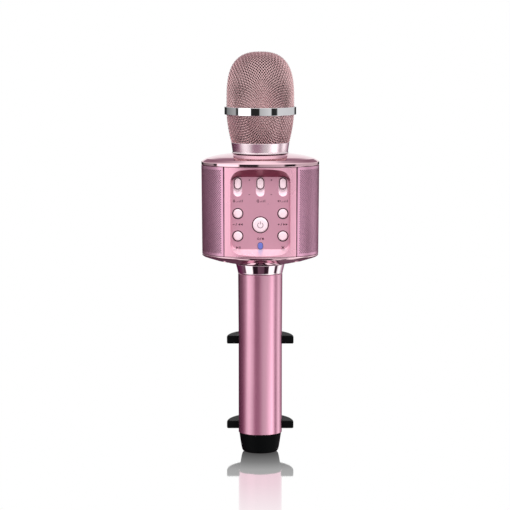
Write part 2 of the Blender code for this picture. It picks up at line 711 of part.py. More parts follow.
def jaw_lip(name, low, high):
    """Raised rim along the outer edge of a jaw."""
    lip = prism(name, jaw_outline(0.0004, LIP_FRONT_Y), low, high, None)
    inside = prism(f"{name}_inside", jaw_outline(LIP_WIDTH, LIP_FRONT_Y - 0.002),
                   low - 0.001, high + 0.001, None)
    return cut(lip, inside)


def make_clamp_base():
    """Fixed lower jaw and the channel that runs up the back of the handle."""
    base = prism("clamp_base", jaw_outline(), LOWER_JAW_LOW, LOWER_JAW_HIGH, "black_plastic")
    round_edges(base, 0.0008)
    spine = box("spine", (-SPINE_HALF_WIDTH, 0.0115, LOWER_JAW_LOW + 0.002),
                (SPINE_HALF_WIDTH, SPINE_BACK_Y, SPINE_TOP), None)
    round_edges(spine, 0.0010)
    seat = rod("handle_seat", (0, 0, 0), (0, 0, 0.09), TUBE_RADIUS + 0.0004, None, 40)
    channel = box("channel", (-0.0086, 0.0174, CHANNEL_LOW), (0.0086, 0.0226, 0.09), None)
    lip = jaw_lip("lower_lip", LOWER_JAW_HIGH - 0.001, LOWER_JAW_HIGH + LIP_HEIGHT)
    cut(add(base, spine, lip), seat, channel)
    for side in (-1, 1):
        x = side * CLAMP_SCREW_X
        z = CLAMP_SCREW_Z
        hole = rod(f"base_screw_hole_{side}", (x, 0.010, z), (x, 0.026, z), 0.0014, None, 10)
        well = rod(f"base_screw_well_{side}", (x, 0.0219, z), (x, 0.026, z), 0.0026, None, 12)
        cut(base, hole, well)


def make_upper_jaw():
    """Sliding jaw with two legs that run in the channel."""
    jaw = prism("upper_jaw", jaw_outline(), UPPER_JAW_LOW, UPPER_JAW_HIGH, "black_plastic")
    round_edges(jaw, 0.0008)
    lip = jaw_lip("upper_lip", UPPER_JAW_LOW - LIP_HEIGHT, UPPER_JAW_LOW + 0.001)
    legs = []
    for side in (-1, 1):
        low, high = sorted((side * 0.0044, side * 0.0082))
        legs.append(box(f"jaw_leg_{side}", (low, 0.0178, LEG_BOTTOM),
                        (high, 0.0222, UPPER_JAW_LOW + 0.002), None))
    add(jaw, lip, *legs)


def make_pads_and_spring():
    """Soft pads on the two jaws, the return spring and the two screws."""
    pad_front, pad_back = SPINE_BACK_Y + 0.0006, 0.0322
    pads = (("jaw_pad_lower", LOWER_JAW_HIGH + GAP), ("jaw_pad_upper", UPPER_JAW_LOW - GAP - 0.0012))
    for name, low in pads:
        pad = box(name, (-0.0085, pad_front, low), (0.0085, pad_back, low + 0.0012), "black_rubber")
        round_edges(pad, 0.0004, 1)
    coil("clamp_spring", (0, 0.0200, CHANNEL_LOW + 0.0010), UPPER_JAW_LOW - 0.0010,
         0.0019, 0.00035, 8, "steel", 6)


def make_screws():
    """Screws of the bottom cover and of the clamp."""
    for i, (x, y) in enumerate(body_screw_places(), start=1):
        screw(f"body_screw_{i}", (x, y, 0.1322), 0.0120, (0, 0, 0))
    for i, side in enumerate((-1, 1), start=1):
        screw(f"clamp_screw_{i}", (side * CLAMP_SCREW_X, 0.0222, CLAMP_SCREW_Z), 0.0118,
              (math.pi / 2, 0, 0))


def screw(name, at, length, turn):
    """Pan-head screw whose shank runs up from its seat."""
    head = 0.0013
    item = turned(name, [
        (0, length), (SCREW_SHANK * 0.6, length), (SCREW_SHANK, length - 0.0008),
        (SCREW_SHANK, 0), (SCREW_HEAD, 0), (SCREW_HEAD, -head * 0.6),
        (SCREW_HEAD * 0.7, -head), (0, -head)], "steel", 12)
    item.location = at
    item.rotation_euler = turn
    return item


def main():
    clear_scene()
    make_head()
    make_covers()
    make_front_panel()
    make_rear_panel()
    make_side_grilles()
    make_chassis()
    make_drivers()
    make_buttons()
    make_sliders()
    make_board()
    make_handle()
    make_battery()
    make_clamp_base()
    make_upper_jaw()
    make_pads_and_spring()
    make_screws()


main()
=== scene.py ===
"""Looks of a hand-held karaoke microphone with a loudspeaker body and a phone clamp.

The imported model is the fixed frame. Each sub-assembly is a class that builds its own
finely made pieces round that frame, dresses them in their finishes and hangs them on the
body that they move with. Metres, +Z up, the control pocket looks along -Y.
"""

import json
import logging
import math
from collections.abc import Iterable, Sequence
from dataclasses import dataclass, field
from enum import Enum

import bmesh
import bpy
from mathutils import Matrix, Vector


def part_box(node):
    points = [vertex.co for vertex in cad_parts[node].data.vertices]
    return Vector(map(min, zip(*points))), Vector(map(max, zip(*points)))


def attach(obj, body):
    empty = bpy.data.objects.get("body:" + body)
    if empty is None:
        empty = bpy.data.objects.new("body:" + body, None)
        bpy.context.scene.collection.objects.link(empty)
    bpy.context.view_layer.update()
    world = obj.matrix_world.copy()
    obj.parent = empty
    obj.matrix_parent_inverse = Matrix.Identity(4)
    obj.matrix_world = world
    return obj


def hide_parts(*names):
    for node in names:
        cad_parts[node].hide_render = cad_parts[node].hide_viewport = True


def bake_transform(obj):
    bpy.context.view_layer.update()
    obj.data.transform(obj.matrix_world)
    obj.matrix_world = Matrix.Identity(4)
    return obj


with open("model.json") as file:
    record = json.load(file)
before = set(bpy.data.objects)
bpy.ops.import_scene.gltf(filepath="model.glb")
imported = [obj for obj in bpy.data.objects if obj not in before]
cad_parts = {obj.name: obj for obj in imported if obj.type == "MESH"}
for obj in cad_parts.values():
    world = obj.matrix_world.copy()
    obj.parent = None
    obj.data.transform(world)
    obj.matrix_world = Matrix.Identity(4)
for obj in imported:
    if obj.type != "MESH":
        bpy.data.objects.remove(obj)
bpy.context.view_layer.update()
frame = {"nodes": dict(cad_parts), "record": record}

log = logging.getLogger("microphone")
Point = tuple[float, float]
Ring = list[Vector]

ROOT = "microphone"
JAW = "sliding_jaw"
TURN = 2 * math.pi
WELD = 1e-7  # vertices nearer than this, in metres, are one vertex
WIRE_WELD = 1e-6  # the same, for the ends of swept wires
FLOOR_Y = -0.0200  # floor of the control pocket
CONTROL_X = 0.0150  # how far the outer sliders and buttons stand from the middle
GRAIN_DEPTH = 0.0002
WORN_TONE = (0.35, 0.35, 0.36, 1)
# tones of painted shade and painted light, laid on by the way a face looks
PAINTED_SHADE_TONE = (0.28, 0.05, 0.11, 1)
PAINTED_LIGHT_TONE = (0.99, 0.86, 0.92, 1)
WHITE = (1, 1, 1, 1)


# ------------------------------------------------------------------------ shader nodes

def fill(tree: bpy.types.NodeTree, node: bpy.types.Node, inputs: dict[str | int, object]) -> None:
    """Set a node's inputs.

    Args:
        tree: Node tree that holds the node.
        node: The node.
        inputs: The value of each input, or the socket that feeds it, by name or number.
    """
    for name, value in inputs.items():
        if isinstance(value, bpy.types.NodeSocket):
            tree.links.new(value, node.inputs[name])
        else:
            node.inputs[name].default_value = value


def add_node(tree: bpy.types.NodeTree, kind: str, inputs: dict[str | int, object] | None = None,
             **settings: str) -> bpy.types.Node:
    """Add a shader node.

    Args:
        tree: Node tree that gets it.
        kind: Its type, without the leading "ShaderNode".
        inputs: The value of each input, or the socket that feeds it, by name or number.
        **settings: Its menu choices.

    Returns:
        The new node.
    """
    made = tree.nodes.new(f"ShaderNode{kind}")
    for name, value in settings.items():
        setattr(made, name, value)
    fill(tree, made, inputs or {})
    return made


def mixed(tree: bpy.types.NodeTree, share: bpy.types.NodeSocket, first: bpy.types.NodeSocket,
          second: object, blend: str = "MIX") -> bpy.types.NodeSocket:
    """Mix two colours.

    Args:
        tree: Node tree that gets the mix.
        share: Socket with the second colour's share.
        first: Socket with the first colour.
        second: The second colour, or its socket.
        blend: How the second colour is laid over the first.

    Returns:
        Socket with the mixed colour.
    """
    inputs = {"Factor": share, "A": first, "B": second}
    return add_node(tree, "Mix", inputs, data_type="RGBA", blend_type=blend).outputs["Result"]


def ranged(tree: bpy.types.NodeTree, value: bpy.types.NodeSocket, ends: dict[str, float],
           curve: str = "LINEAR") -> bpy.types.NodeSocket:
    """Map a value from one range to another.

    Args:
        tree: Node tree that gets the map.
        value: Socket with the value.
        ends: Those ends of the two ranges that aren't 0 and 1.
        curve: Shape of the way between the ends.

    Returns:
        Socket with the mapped value.
    """
    inputs = {"Value": value, **ends}
    return add_node(tree, "MapRange", inputs, interpolation_type=curve).outputs["Result"]


# ------------------------------------------------------------------------ finishes

class Grain(Enum):
    """Fine structure that a finish carries."""

    POLISHED = "polished"
    SATIN = "satin"
    DRAWN = "drawn"
    MOULDED = "moulded"
    FOAM = "foam"
    WEAVE = "weave"


GRAIN_SCALES: dict[Grain, tuple[tuple[float, float, float], float]] = {
    Grain.POLISHED: ((60.0, 60.0, 60.0), 0.006),
    Grain.SATIN: ((2600.0, 2600.0, 2600.0), 0.05),
    Grain.DRAWN: ((2400.0, 2400.0, 40.0), 0.05),
    Grain.MOULDED: ((1500.0, 1500.0, 1500.0), 0.22),
    Grain.FOAM: ((900.0, 900.0, 900.0), 0.9),
    Grain.WEAVE: ((1200.0, 1200.0, 1200.0), 0.5),
}


@dataclass(frozen=True)
class Finish:
    """One surface finish: its colour, gloss and fine grain.

    The colour drifts a little between two tones, and the gloss drifts with it.
    """

    name: str
    colour: tuple[float, float, float]
    roughness: float
    metallic: float = 0.0
    grain: Grain = Grain.SATIN
    drift: float = 0.06
    coat: float = 0.0
    coat_roughness: float = 0.08
    ior: float = 1.5
    sheen: float = 0.0
    glow: float = 0.0
    edge: float = 0.0
    # strength of painted shade on faces that look down and of painted light on faces that look up
    painted_shade_below: float = 0.0
    painted_light_above: float = 0.0

    def material(self) -> bpy.types.Material:
        """Build the finish's material, or fetch it if it is already built.

        Returns:
            The procedural material, whose textures read Object coordinates.
        """
        known = bpy.data.materials.get(self.name)
        if known:
            return known
        made = bpy.data.materials.new(self.name)
        made.use_nodes = True
        tree = made.node_tree
        place = add_node(tree, "TexCoord").outputs["Object"]
        broad = add_node(tree, "TexNoise", {"Vector": place, "Scale": 35.0, "Detail": 3.0}).outputs["Fac"]
        colour = self._colour(tree, broad)
        inputs = {"Base Color": colour, "Roughness": self._gloss(tree, broad),
                  "Normal": self._grain(tree, place), "Metallic": self.metallic,
                  "IOR": self.ior, "Sheen Weight": self.sheen,
                  "Coat Weight": self.coat, "Coat Roughness": self.coat_roughness}
        if self.glow:
            inputs |= {"Emission Color": colour, "Emission Strength": self.glow}
        fill(tree, tree.nodes["Principled BSDF"], inputs)
        return made

    def _colour(self, tree: bpy.types.NodeTree, broad: bpy.types.NodeSocket) -> bpy.types.NodeSocket:
        """Drift the colour between a darker and a lighter tone, lighter on worn edges, with painted shade
        and painted light laid on where the finish asks.

        Args:
            tree: The material's node tree.
            broad: Socket with the broad noise.

        Returns:
            Socket with the colour.
        """
        tones = add_node(tree, "ValToRGB", {"Fac": broad})
        low, high = tones.color_ramp.elements
        low.position, high.position = 0.3, 0.7
        low.color = (*[max(0.0, c * (1 - self.drift)) for c in self.colour], 1)
        high.color = (*[min(1.0, c * (1 + self.drift)) for c in self.colour], 1)
        colour = tones.outputs["Color"]
        if self.edge:
            bend = add_node(tree, "NewGeometry").outputs["Pointiness"]
            worn = ranged(tree, bend, {"From Min": 0.52, "From Max": 0.62, "To Max": self.edge})
            colour = mixed(tree, worn, colour, WORN_TONE, "SCREEN")
        if self.painted_shade_below:
            colour = self._paint_shade_and_light(tree, colour)
        return colour

    def _paint_shade_and_light(self, tree: bpy.types.NodeTree, colour: bpy.types.NodeSocket) -> bpy.types.NodeSocket:
        """Paint shade into the colour of faces that look down and paint light into that of faces that look
        up.

        Args:
            tree: The material's node tree.
            colour: Socket with the plain colour.

        Returns:
            Socket with the shaded colour.
        """
        normal = add_node(tree, "NewGeometry").outputs["Normal"]
        up = add_node(tree, "SeparateXYZ", {"Vector": normal}).outputs["Z"]
        # painted shade darkens faces that look down; painted light pales faces that look up
        for way, reach, blend, tone in ((-1, self.painted_shade_below, "MULTIPLY", PAINTED_SHADE_TONE),
                                        (1, self.painted_light_above, "MIX", PAINTED_LIGHT_TONE)):
            share = ranged(tree, up, {"From Min": 0.2 * way, "From Max": 0.75 * way, "To Max": reach})
            colour = mixed(tree, share, colour, tone, blend)
        return colour

    def _gloss(self, tree: bpy.types.NodeTree, broad: bpy.types.NodeSocket) -> bpy.types.NodeSocket:
        """Let the roughness drift with the colour."""
        ends = {"To Min": self.roughness * 0.85, "To Max": min(1.0, self.roughness * 1.2)}
        return ranged(tree, broad, ends)

    def _grain(self, tree: bpy.types.NodeTree, place: bpy.types.NodeSocket) -> bpy.types.NodeSocket:
        """Raise the fine grain as a bump.

        Args:
            tree: The material's node tree.
            place: Socket with the Object coordinates.

        Returns:
            Socket with the bumped normal.
        """
        scale, strength = GRAIN_SCALES[self.grain]
        stretched = add_node(tree, "Mapping", {"Vector": place, "Scale": scale}).outputs["Vector"]
        inputs = {"Vector": stretched, "Scale": 1.0}
        if self.grain is Grain.FOAM:
            relief = add_node(tree, "TexVoronoi", inputs).outputs["Distance"]
        else:
            relief = add_node(tree, "TexNoise", {**inputs, "Detail": 2.0}).outputs["Fac"]
        bump = {"Height": relief, "Strength": strength, "Distance": GRAIN_DEPTH}
        return add_node(tree, "Bump", bump).outputs["Normal"]


ROSE_ANODISED = Finish("rose_anodised_tube", (0.78, 0.40, 0.53), 0.20, 0.95, Grain.DRAWN, 0.02, 0.2, 0.2)
ROSE_PLATED = Finish("rose_chrome_plating", (0.84, 0.56, 0.63), 0.05, 1.0, Grain.POLISHED, 0.02)
PALE_PLATED = Finish("pale_rose_plated", (0.95, 0.78, 0.83), 0.26, 1.0, Grain.POLISHED, 0.02)
BRIGHT_PLATED = Finish("bright_rose_plated", (0.96, 0.82, 0.87), 0.05, 1.0, Grain.POLISHED, 0.02)
# the pearl panels carry painted shade on faces that look down and painted light on faces that look up
ROSE_PEARL = Finish("rose_pearl_gloss", (0.84, 0.43, 0.55), 0.27, 0.70, Grain.SATIN, 0.03, 0.4, 0.06,
                    painted_shade_below=0.9, painted_light_above=0.75)
ROSE_WIRE = Finish("rose_wire", (0.92, 0.62, 0.63), 0.14, 1.0, Grain.POLISHED, 0.10)
PERFORATED = Finish("perforated_skin", (0.76, 0.40, 0.56), 0.28, 0.9, Grain.SATIN, 0.05)
CHROME = Finish("polished_chrome", (0.93, 0.93, 0.95), 0.03, 1.0, Grain.POLISHED, 0.01)
BRIGHT_STEEL = Finish("zinc_steel", (0.62, 0.62, 0.64), 0.28, 1.0, Grain.SATIN)
PEARL_KEY = Finish("pearl_key", (0.90, 0.70, 0.76), 0.22, 0.1, Grain.SATIN, 0.02, 0.6, 0.05)
# the slot plate glows faintly: painted light that lifts the shade in the slot, though it is no lamp
GLOWING_SLOT_PLATE = Finish("slot_plate_painted_glow", (0.95, 0.74, 0.82), 0.3, 0.0, Grain.SATIN, 0.02, glow=0.22)
BLACK_SATIN = Finish("black_satin_plastic", (0.0030, 0.0034, 0.0036), 0.45, 0.0, Grain.MOULDED, 0.1,
                     ior=1.10, edge=0.03)
BLACK_RUBBER = Finish("soft_black_rubber", (0.02, 0.02, 0.021), 0.75, 0.0, Grain.MOULDED, 0.15)
FOAM = Finish("grey_foam", (0.020, 0.013, 0.014), 0.95, 0.0, Grain.FOAM, 0.2, sheen=0.2)
# dark plum plastic of the key stems and slider skirts: partly the parts' own colour, partly painted shade
# that draws a shadow ring round each cap
PLUM_SHADOW_RIM = Finish("plum_plastic_shadow_rim", (0.075, 0.018, 0.032), 0.45, 0.0, Grain.SATIN)
FRAME_PLASTIC = Finish("dark_frame_plastic", (0.030, 0.018, 0.024), 0.5, 0.0, Grain.MOULDED)
BOARD = Finish("circuit_board", (0.02, 0.16, 0.08), 0.4, 0.0, Grain.SATIN, 0.2, 0.4)
CONE_PAPER = Finish("cone_paper", (0.04, 0.04, 0.045), 0.8, 0.0, Grain.WEAVE, 0.2)
CELL_WRAP = Finish("cell_wrap", (0.08, 0.20, 0.48), 0.3, 0.0, Grain.SATIN, 0.05, 0.4)
PLUM_PRINT = Finish("plum_print", (0.055, 0.008, 0.020), 0.5, 0.0, Grain.SATIN)
GREY_PRINT = Finish("grey_print", (0.20, 0.14, 0.165), 0.4, 0.0, Grain.SATIN)
BLUE_LIGHT = Finish("blue_light", (0.11, 0.13, 0.42), 0.2, 0.0, Grain.SATIN, 0.1, 0.3, glow=0.12)

SLOT_FINISHES: dict[str, Finish] = {
    "rose_anodised": ROSE_ANODISED,
    "rose_plated": ROSE_PLATED,
    "rose_gloss": ROSE_PEARL,
    "rose_mesh": ROSE_WIRE,
    "perforated_metal": PERFORATED,
    "chrome": CHROME,
    "pearl": PEARL_KEY,
    "black_plastic": BLACK_SATIN,
    "black_rubber": BLACK_RUBBER,
    "foam": FOAM,
    "frame_plastic": FRAME_PLASTIC,
    "board": BOARD,
    "steel": BRIGHT_STEEL,
    "cone_paper": CONE_PAPER,
    "cell_wrap": CELL_WRAP,
    "light_blue": BLUE_LIGHT,
}


# ------------------------------------------------------------------------ mesh tools

def soften(outline: Sequence[Point], radius: float, steps: int = 4) -> list[Point]:
    """Round the corners of a closed outline.

    Args:
        outline: Corner points in order.
        radius: How far from each corner its rounding starts.
        steps: Number of short edges in each rounded corner.

    Returns:
        The outline with each sharp corner replaced by a small arc.
    """
    rounded: list[Point] = []
    count = len(outline)
    for i, corner in enumerate(outline):
        here = Vector(corner)
        before = Vector(outline[i - 1]) - here
        after = Vector(outline[(i + 1) % count]) - here
        if here.x < WELD or before.angle(-after, 0.0) < math.radians(12):
            rounded.append(corner)
            continue
        start = here + before.normalized() * min(radius, before.length * 0.45)
        end = here + after.normalized() * min(radius, after.length * 0.45)
        for step in range(steps + 1):
            t = step / steps
            spot = start * (1 - t) ** 2 + here * (2 * t * (1 - t)) + end * t ** 2
            rounded.append((spot.x, spot.y))
    return rounded


def spun(outline: Sequence[Point], steps: int = 96) -> bmesh.types.BMesh:
    """Spin a closed outline of (radius, height) points about Z.

    Args:
        outline: Points in order; two of them may lie on the axis.
        steps: Number of flats round the shape.

    Returns:
        A closed bmesh with its faces pointing out.
    """
    bm = bmesh.new()
    verts = [bm.verts.new((radius, 0, height)) for radius, height in outline]
    edges = []
    for i, vert in enumerate(verts):
        after = verts[(i + 1) % len(verts)]
        if max(vert.co.x, after.co.x) > WELD:
            edges.append(bm.edges.new((vert, after)))
    bmesh.ops.spin(bm, geom=verts + edges, cent=(0, 0, 0), axis=(0, 0, 1), dvec=(0, 0, 0),
                   angle=TURN, steps=steps, use_merge=True, use_duplicate=False)
    bmesh.ops.remove_doubles(bm, verts=bm.verts, dist=WELD)
    bmesh.ops.recalc_face_normals(bm, faces=bm.faces)
    return bm


def skinned(rings: Sequence[Ring], joined: bool = False) -> bmesh.types.BMesh:
    """Bridge a row of rings that have equal numbers of points.

    Args:
        rings: Rings in order along the shape.
        joined: Whether the last ring also joins the first, instead of two caps.

    Returns:
        A closed bmesh with its faces pointing out.
    """
    bm = bmesh.new()
    loops = []
    for ring in rings:
        made = bmesh.ops.create_circle(bm, cap_ends=False, radius=1, segments=len(ring))
        for vert, point in zip(made["verts"], ring):
            vert.co = point
        loops.append(list({edge for vert in made["verts"] for edge in vert.link_edges}))
    following = loops[1:] + loops[:1] if joined else loops[1:]
    for low, high in zip(loops, following):
        bmesh.ops.bridge_loops(bm, edges=low + high)
    if not joined:
        bmesh.ops.contextual_create(bm, geom=loops[0])
        bmesh.ops.contextual_create(bm, geom=loops[-1])
    bmesh.ops.recalc_face_normals(bm, faces=bm.faces)
    return bm


def block(low: Vector, high: Vector) -> bmesh.types.BMesh:
    """Make a box between two corners.

    Args:
        low: Its lowest corner.
        high: Its highest corner.

    Returns:
        A closed bmesh.
    """
    bm = bmesh.new()
    bmesh.ops.create_cube(bm, size=1)
    bmesh.ops.scale(bm, vec=high - low, verts=bm.verts)
    bmesh.ops.translate(bm, vec=(high + low) / 2, verts=bm.verts)
    return bm


def bar(start: Vector, end: Vector, radius: float, sides: int = 48) -> bmesh.types.BMesh:
    """Make a round bar between two points.

    Args:
        start: Middle of one end.
        end: Middle of the other end.
        radius: Its radius.
        sides: Number of flats round it.

    Returns:
        A closed bmesh.
    """
    bm = bmesh.new()
    turn = Vector((0, 0, 1)).rotation_difference(end - start).to_matrix().to_4x4()
    bmesh.ops.create_cone(bm, cap_ends=True, segments=sides, radius1=radius, radius2=radius,
                          depth=(end - start).length,
                          matrix=Matrix.Translation((start + end) / 2) @ turn)
    return bm


def slab(outline: Sequence[Vector], shift: Vector) -> bmesh.types.BMesh:
    """Extrude a flat outline by a vector.

    Args:
        outline: Corner points of the flat face, in order.
        shift: How far and which way it is extruded.

    Returns:
        A closed prism with its faces pointing out.
    """
    bm = bmesh.new()
    face = bm.faces.new([bm.verts.new(point) for point in outline])
    made = bmesh.ops.extrude_face_region(bm, geom=[face], use_keep_orig=True)
    moved = [item for item in made["geom"] if isinstance(item, bmesh.types.BMVert)]
    bmesh.ops.translate(bm, vec=shift, verts=moved)
    bmesh.ops.recalc_face_normals(bm, faces=bm.faces)
    return bm


def merged(parts: Iterable[bmesh.types.BMesh]) -> bmesh.types.BMesh:
    """Put several bmeshes into one, as separate shells.

    Args:
        parts: The bmeshes, which are used up.

    Returns:
        One bmesh.
    """
    whole = bmesh.new()
    for part in parts:
        mesh = bpy.data.meshes.new("part")
        part.to_mesh(mesh)
        part.free()
        whole.from_mesh(mesh)
        bpy.data.meshes.remove(mesh)
    return whole


def as_object(name: str, bm: bmesh.types.BMesh) -> bpy.types.Object:
    """Turn a bmesh into an object that stands at the origin.

    Args:
        name: Name of the object.
        bm: Its shape, which is used up.

    Returns:
        The object.
    """
    mesh = bpy.data.meshes.new(name)
    bm.to_mesh(mesh)
    bm.free()
    made = bpy.data.objects.new(name, mesh)
    bpy.context.scene.collection.objects.link(made)
    return made


def carved(name: str, base: bmesh.types.BMesh, cuts: Sequence[bmesh.types.BMesh] = (),
           lumps: Sequence[bmesh.types.BMesh] = (), within: bmesh.types.BMesh | None = None,
           edge: float = 0.0, segments: int = 3, angle: float = 30.0) -> bpy.types.Object:
    """Carve a shape with exact Booleans and round the edges that they leave.

    Args:
        name: Name of the piece.
        base: Shape to start from.
        cuts: Shapes taken away.
        lumps: Shapes welded on, before anything is taken away.
        within: Shape that the base is cropped to, before anything else.
        edge: Radius of the rounded edges, or 0 for none.
        segments: Number of flats across a rounded edge.
        angle: Edges sharper than this many degrees are rounded.

    Returns:
        The finished object, with its modifiers applied.
    """
    item = as_object(name, base)
    tools = []
    steps = [("INTERSECT", within)] if within else []
    steps += [("UNION", lump) for lump in lumps] + [("DIFFERENCE", cut) for cut in cuts]
    for operation, shape in steps:
        tool = as_object(f"{name}_tool", shape)
        tools.append(tool)
        boolean = item.modifiers.new("carve", "BOOLEAN")
        boolean.operation = operation
        boolean.solver = "EXACT"
        boolean.object = tool
    if edge:
        rounding = item.modifiers.new("round", "BEVEL")
        rounding.width = edge
        rounding.segments = segments
        rounding.limit_method = "ANGLE"
        rounding.angle_limit = math.radians(angle)
        rounding.miter_outer = "MITER_ARC"
        rounding.use_clamp_overlap = True
    bake(item)
    for tool in tools:
        bpy.data.objects.remove(tool)
    welded = bmesh.new()
    welded.from_mesh(item.data)
    bmesh.ops.remove_doubles(welded, verts=welded.verts, dist=WELD)
    bmesh.ops.dissolve_degenerate(welded, edges=welded.edges, dist=WELD)
    welded.to_mesh(item.data)
    welded.free()
    return item


def carved_shape(base: bmesh.types.BMesh, edge: float, segments: int, angle: float = 30.0,
                 cuts: Sequence[bmesh.types.BMesh] = ()) -> bmesh.types.BMesh:
    """Carve and round a shape that is to be welded to another.

    Args:
        base: Shape to start from.
        edge: Radius of the rounded edges.
        segments: Number of flats across a rounded edge.
        angle: Edges sharper than this many degrees are rounded.
        cuts: Shapes taken away.

    Returns:
        A closed bmesh.
    """
    item = carved("shape", base, cuts=cuts, edge=edge, segments=segments, angle=angle)
    bm = bmesh.new()
    bm.from_mesh(item.data)
    bpy.data.objects.remove(item)
    return bm


def tubes(rows: Iterable[Sequence[Vector]], radius: float, resolution: int) -> bmesh.types.BMesh:
    """Sweep a round wire along each row of points.

    Args:
        rows: The rows of points.
        radius: Radius of the wire.
        resolution: How finely its roundness is cut.

    Returns:
        A bmesh with one closed tube for each row.
    """
    curve = bpy.data.curves.new("tubes", "CURVE")
    curve.dimensions = "3D"
    curve.bevel_depth = radius
    curve.bevel_resolution = resolution
    curve.use_fill_caps = True
    for row in rows:
        spline = curve.splines.new("POLY")
        spline.points.add(len(row) - 1)
        for point, spot in zip(spline.points, row):
            point.co = (*spot, 1)
    item = bpy.data.objects.new("tubes", curve)
    bpy.context.scene.collection.objects.link(item)
    graph = bpy.context.evaluated_depsgraph_get()
    bm = bmesh.new()
    bm.from_mesh(bpy.data.meshes.new_from_object(item.evaluated_get(graph)))
    bpy.data.objects.remove(item)
    bmesh.ops.remove_doubles(bm, verts=bm.verts, dist=WIRE_WELD)
    bmesh.ops.recalc_face_normals(bm, faces=bm.faces)
    return bm


def centre(node: str) -> tuple[float, ...]:
    """Middle of a CAD node's box."""
    low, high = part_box(node)
    return tuple((a + b) / 2 for a, b in zip(low, high))


def bake(item: bpy.types.Object) -> None:
    """Apply an object's modifiers to its mesh.

    Args:
        item: The object.
    """
    graph = bpy.context.evaluated_depsgraph_get()
    graph.update()
    mesh = bpy.data.meshes.new_from_object(item.evaluated_get(graph))
    item.modifiers.clear()
    item.data = mesh


def dress(item: bpy.types.Object, finish: Finish, body: str = ROOT,
          stands_for: Sequence[str] = (), sharp: float = 32.0) -> bpy.types.Object:
    """Finish a piece: its shading, its material and the body it moves with.

    Args:
        item: The piece.
        finish: Its finish.
        body: The body that it rides on.
        stands_for: CAD nodes that it replaces.
        sharp: Edges sharper than this many degrees stay crisp.

    Returns:
        The same piece.
    """
    item.data.materials.clear()
    item.data.materials.append(finish.material())
    item.data.shade_smooth()
    if sharp < 180:
        item.data.set_sharp_from_angle(angle=math.radians(sharp))
        flatten = item.modifiers.new("flat_faces", "WEIGHTED_NORMAL")
        flatten.weight = 100
        flatten.keep_sharp = True
        bake(item)
    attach(item, body)
    if stands_for:
        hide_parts(*stands_for)
    log.info("%s: %d faces", item.name, len(item.data.polygons))
    return item


def oval(half_width: float, half_depth: float, height: float, sides: int = 160) -> Ring:
    """Make a level oval ring of points."""
    turns = (TURN * i / sides for i in range(sides))
    return [Vector((half_width * math.cos(a), half_depth * math.sin(a), height)) for a in turns]


def stadium(width: float, length: float, steps: int = 12) -> list[Point]:
    """Outline of a slot with round ends, centred on nothing.

    Args:
        width: Its width.
        length: Its length, end to end.
        steps: Number of flats round each end.

    Returns:
        Points, each across and then along the slot.
    """
    radius, straight = width / 2, (length - width) / 2
    return [(radius * math.cos(turn), side * straight + radius * math.sin(turn))
            for side, first in ((1, 0.0), (-1, math.pi))
            for turn in (first + math.pi * step / steps for step in range(steps + 1))]


def rounded_rectangle(half_width: float, low: float, high: float, radius: float,
                      steps: int = 10) -> list[Point]:
    """Outline of an upright rectangle with round corners.

    Args:
        half_width: Half its width.
        low: Height of its lower edge.
        high: Height of its upper edge.
        radius: Radius of its corners.
        steps: Number of flats round each corner.

    Returns:
        Points, each with its x and z.
    """
    corners = ((half_width - radius, high - radius, 0.0), (radius - half_width, high - radius, 0.5),
               (radius - half_width, low + radius, 1.0), (half_width - radius, low + radius, 1.5))
    return [(x + radius * math.cos(turn), z + radius * math.sin(turn))
            for x, z, first in corners
            for turn in (math.pi * (first + 0.5 * step / steps) for step in range(steps + 1))]


# ------------------------------------------------------------------------ head

@dataclass
class Meridian:
    """Side outline of a turned surface, read by its length from its first point."""

    points: list[Point]
    lengths: list[float] = field(init=False)

    def __post_init__(self) -> None:
        """Measure the outline once."""
        self.lengths = [0.0]
        for a, b in zip(self.points, self.points[1:]):
            self.lengths.append(self.lengths[-1] + math.dist(a, b))

    @property
    def total(self) -> float:
        """Whole length of the outline."""
        return self.lengths[-1]

    def at(self, length: float) -> tuple[float, float, float, float]:
        """Find a place along the outline.

        Args:
            length: Distance from the outline's first point.

        Returns:
            The radius and height there, and the two parts of the outward normal.
        """
        length = min(max(length, 0.0), self.total)
        last = len(self.lengths) - 1
        high = next((i for i, done in enumerate(self.lengths) if done >= length and i > 0), last)
        (r0, z0), (r1, z1) = self.points[high - 1], self.points[high]
        span = self.lengths[high] - self.lengths[high - 1]
        part = (length - self.lengths[high - 1]) / span
        return r0 + (r1 - r0) * part, z0 + (z1 - z0) * part, (z0 - z1) / span, (r1 - r0) / span


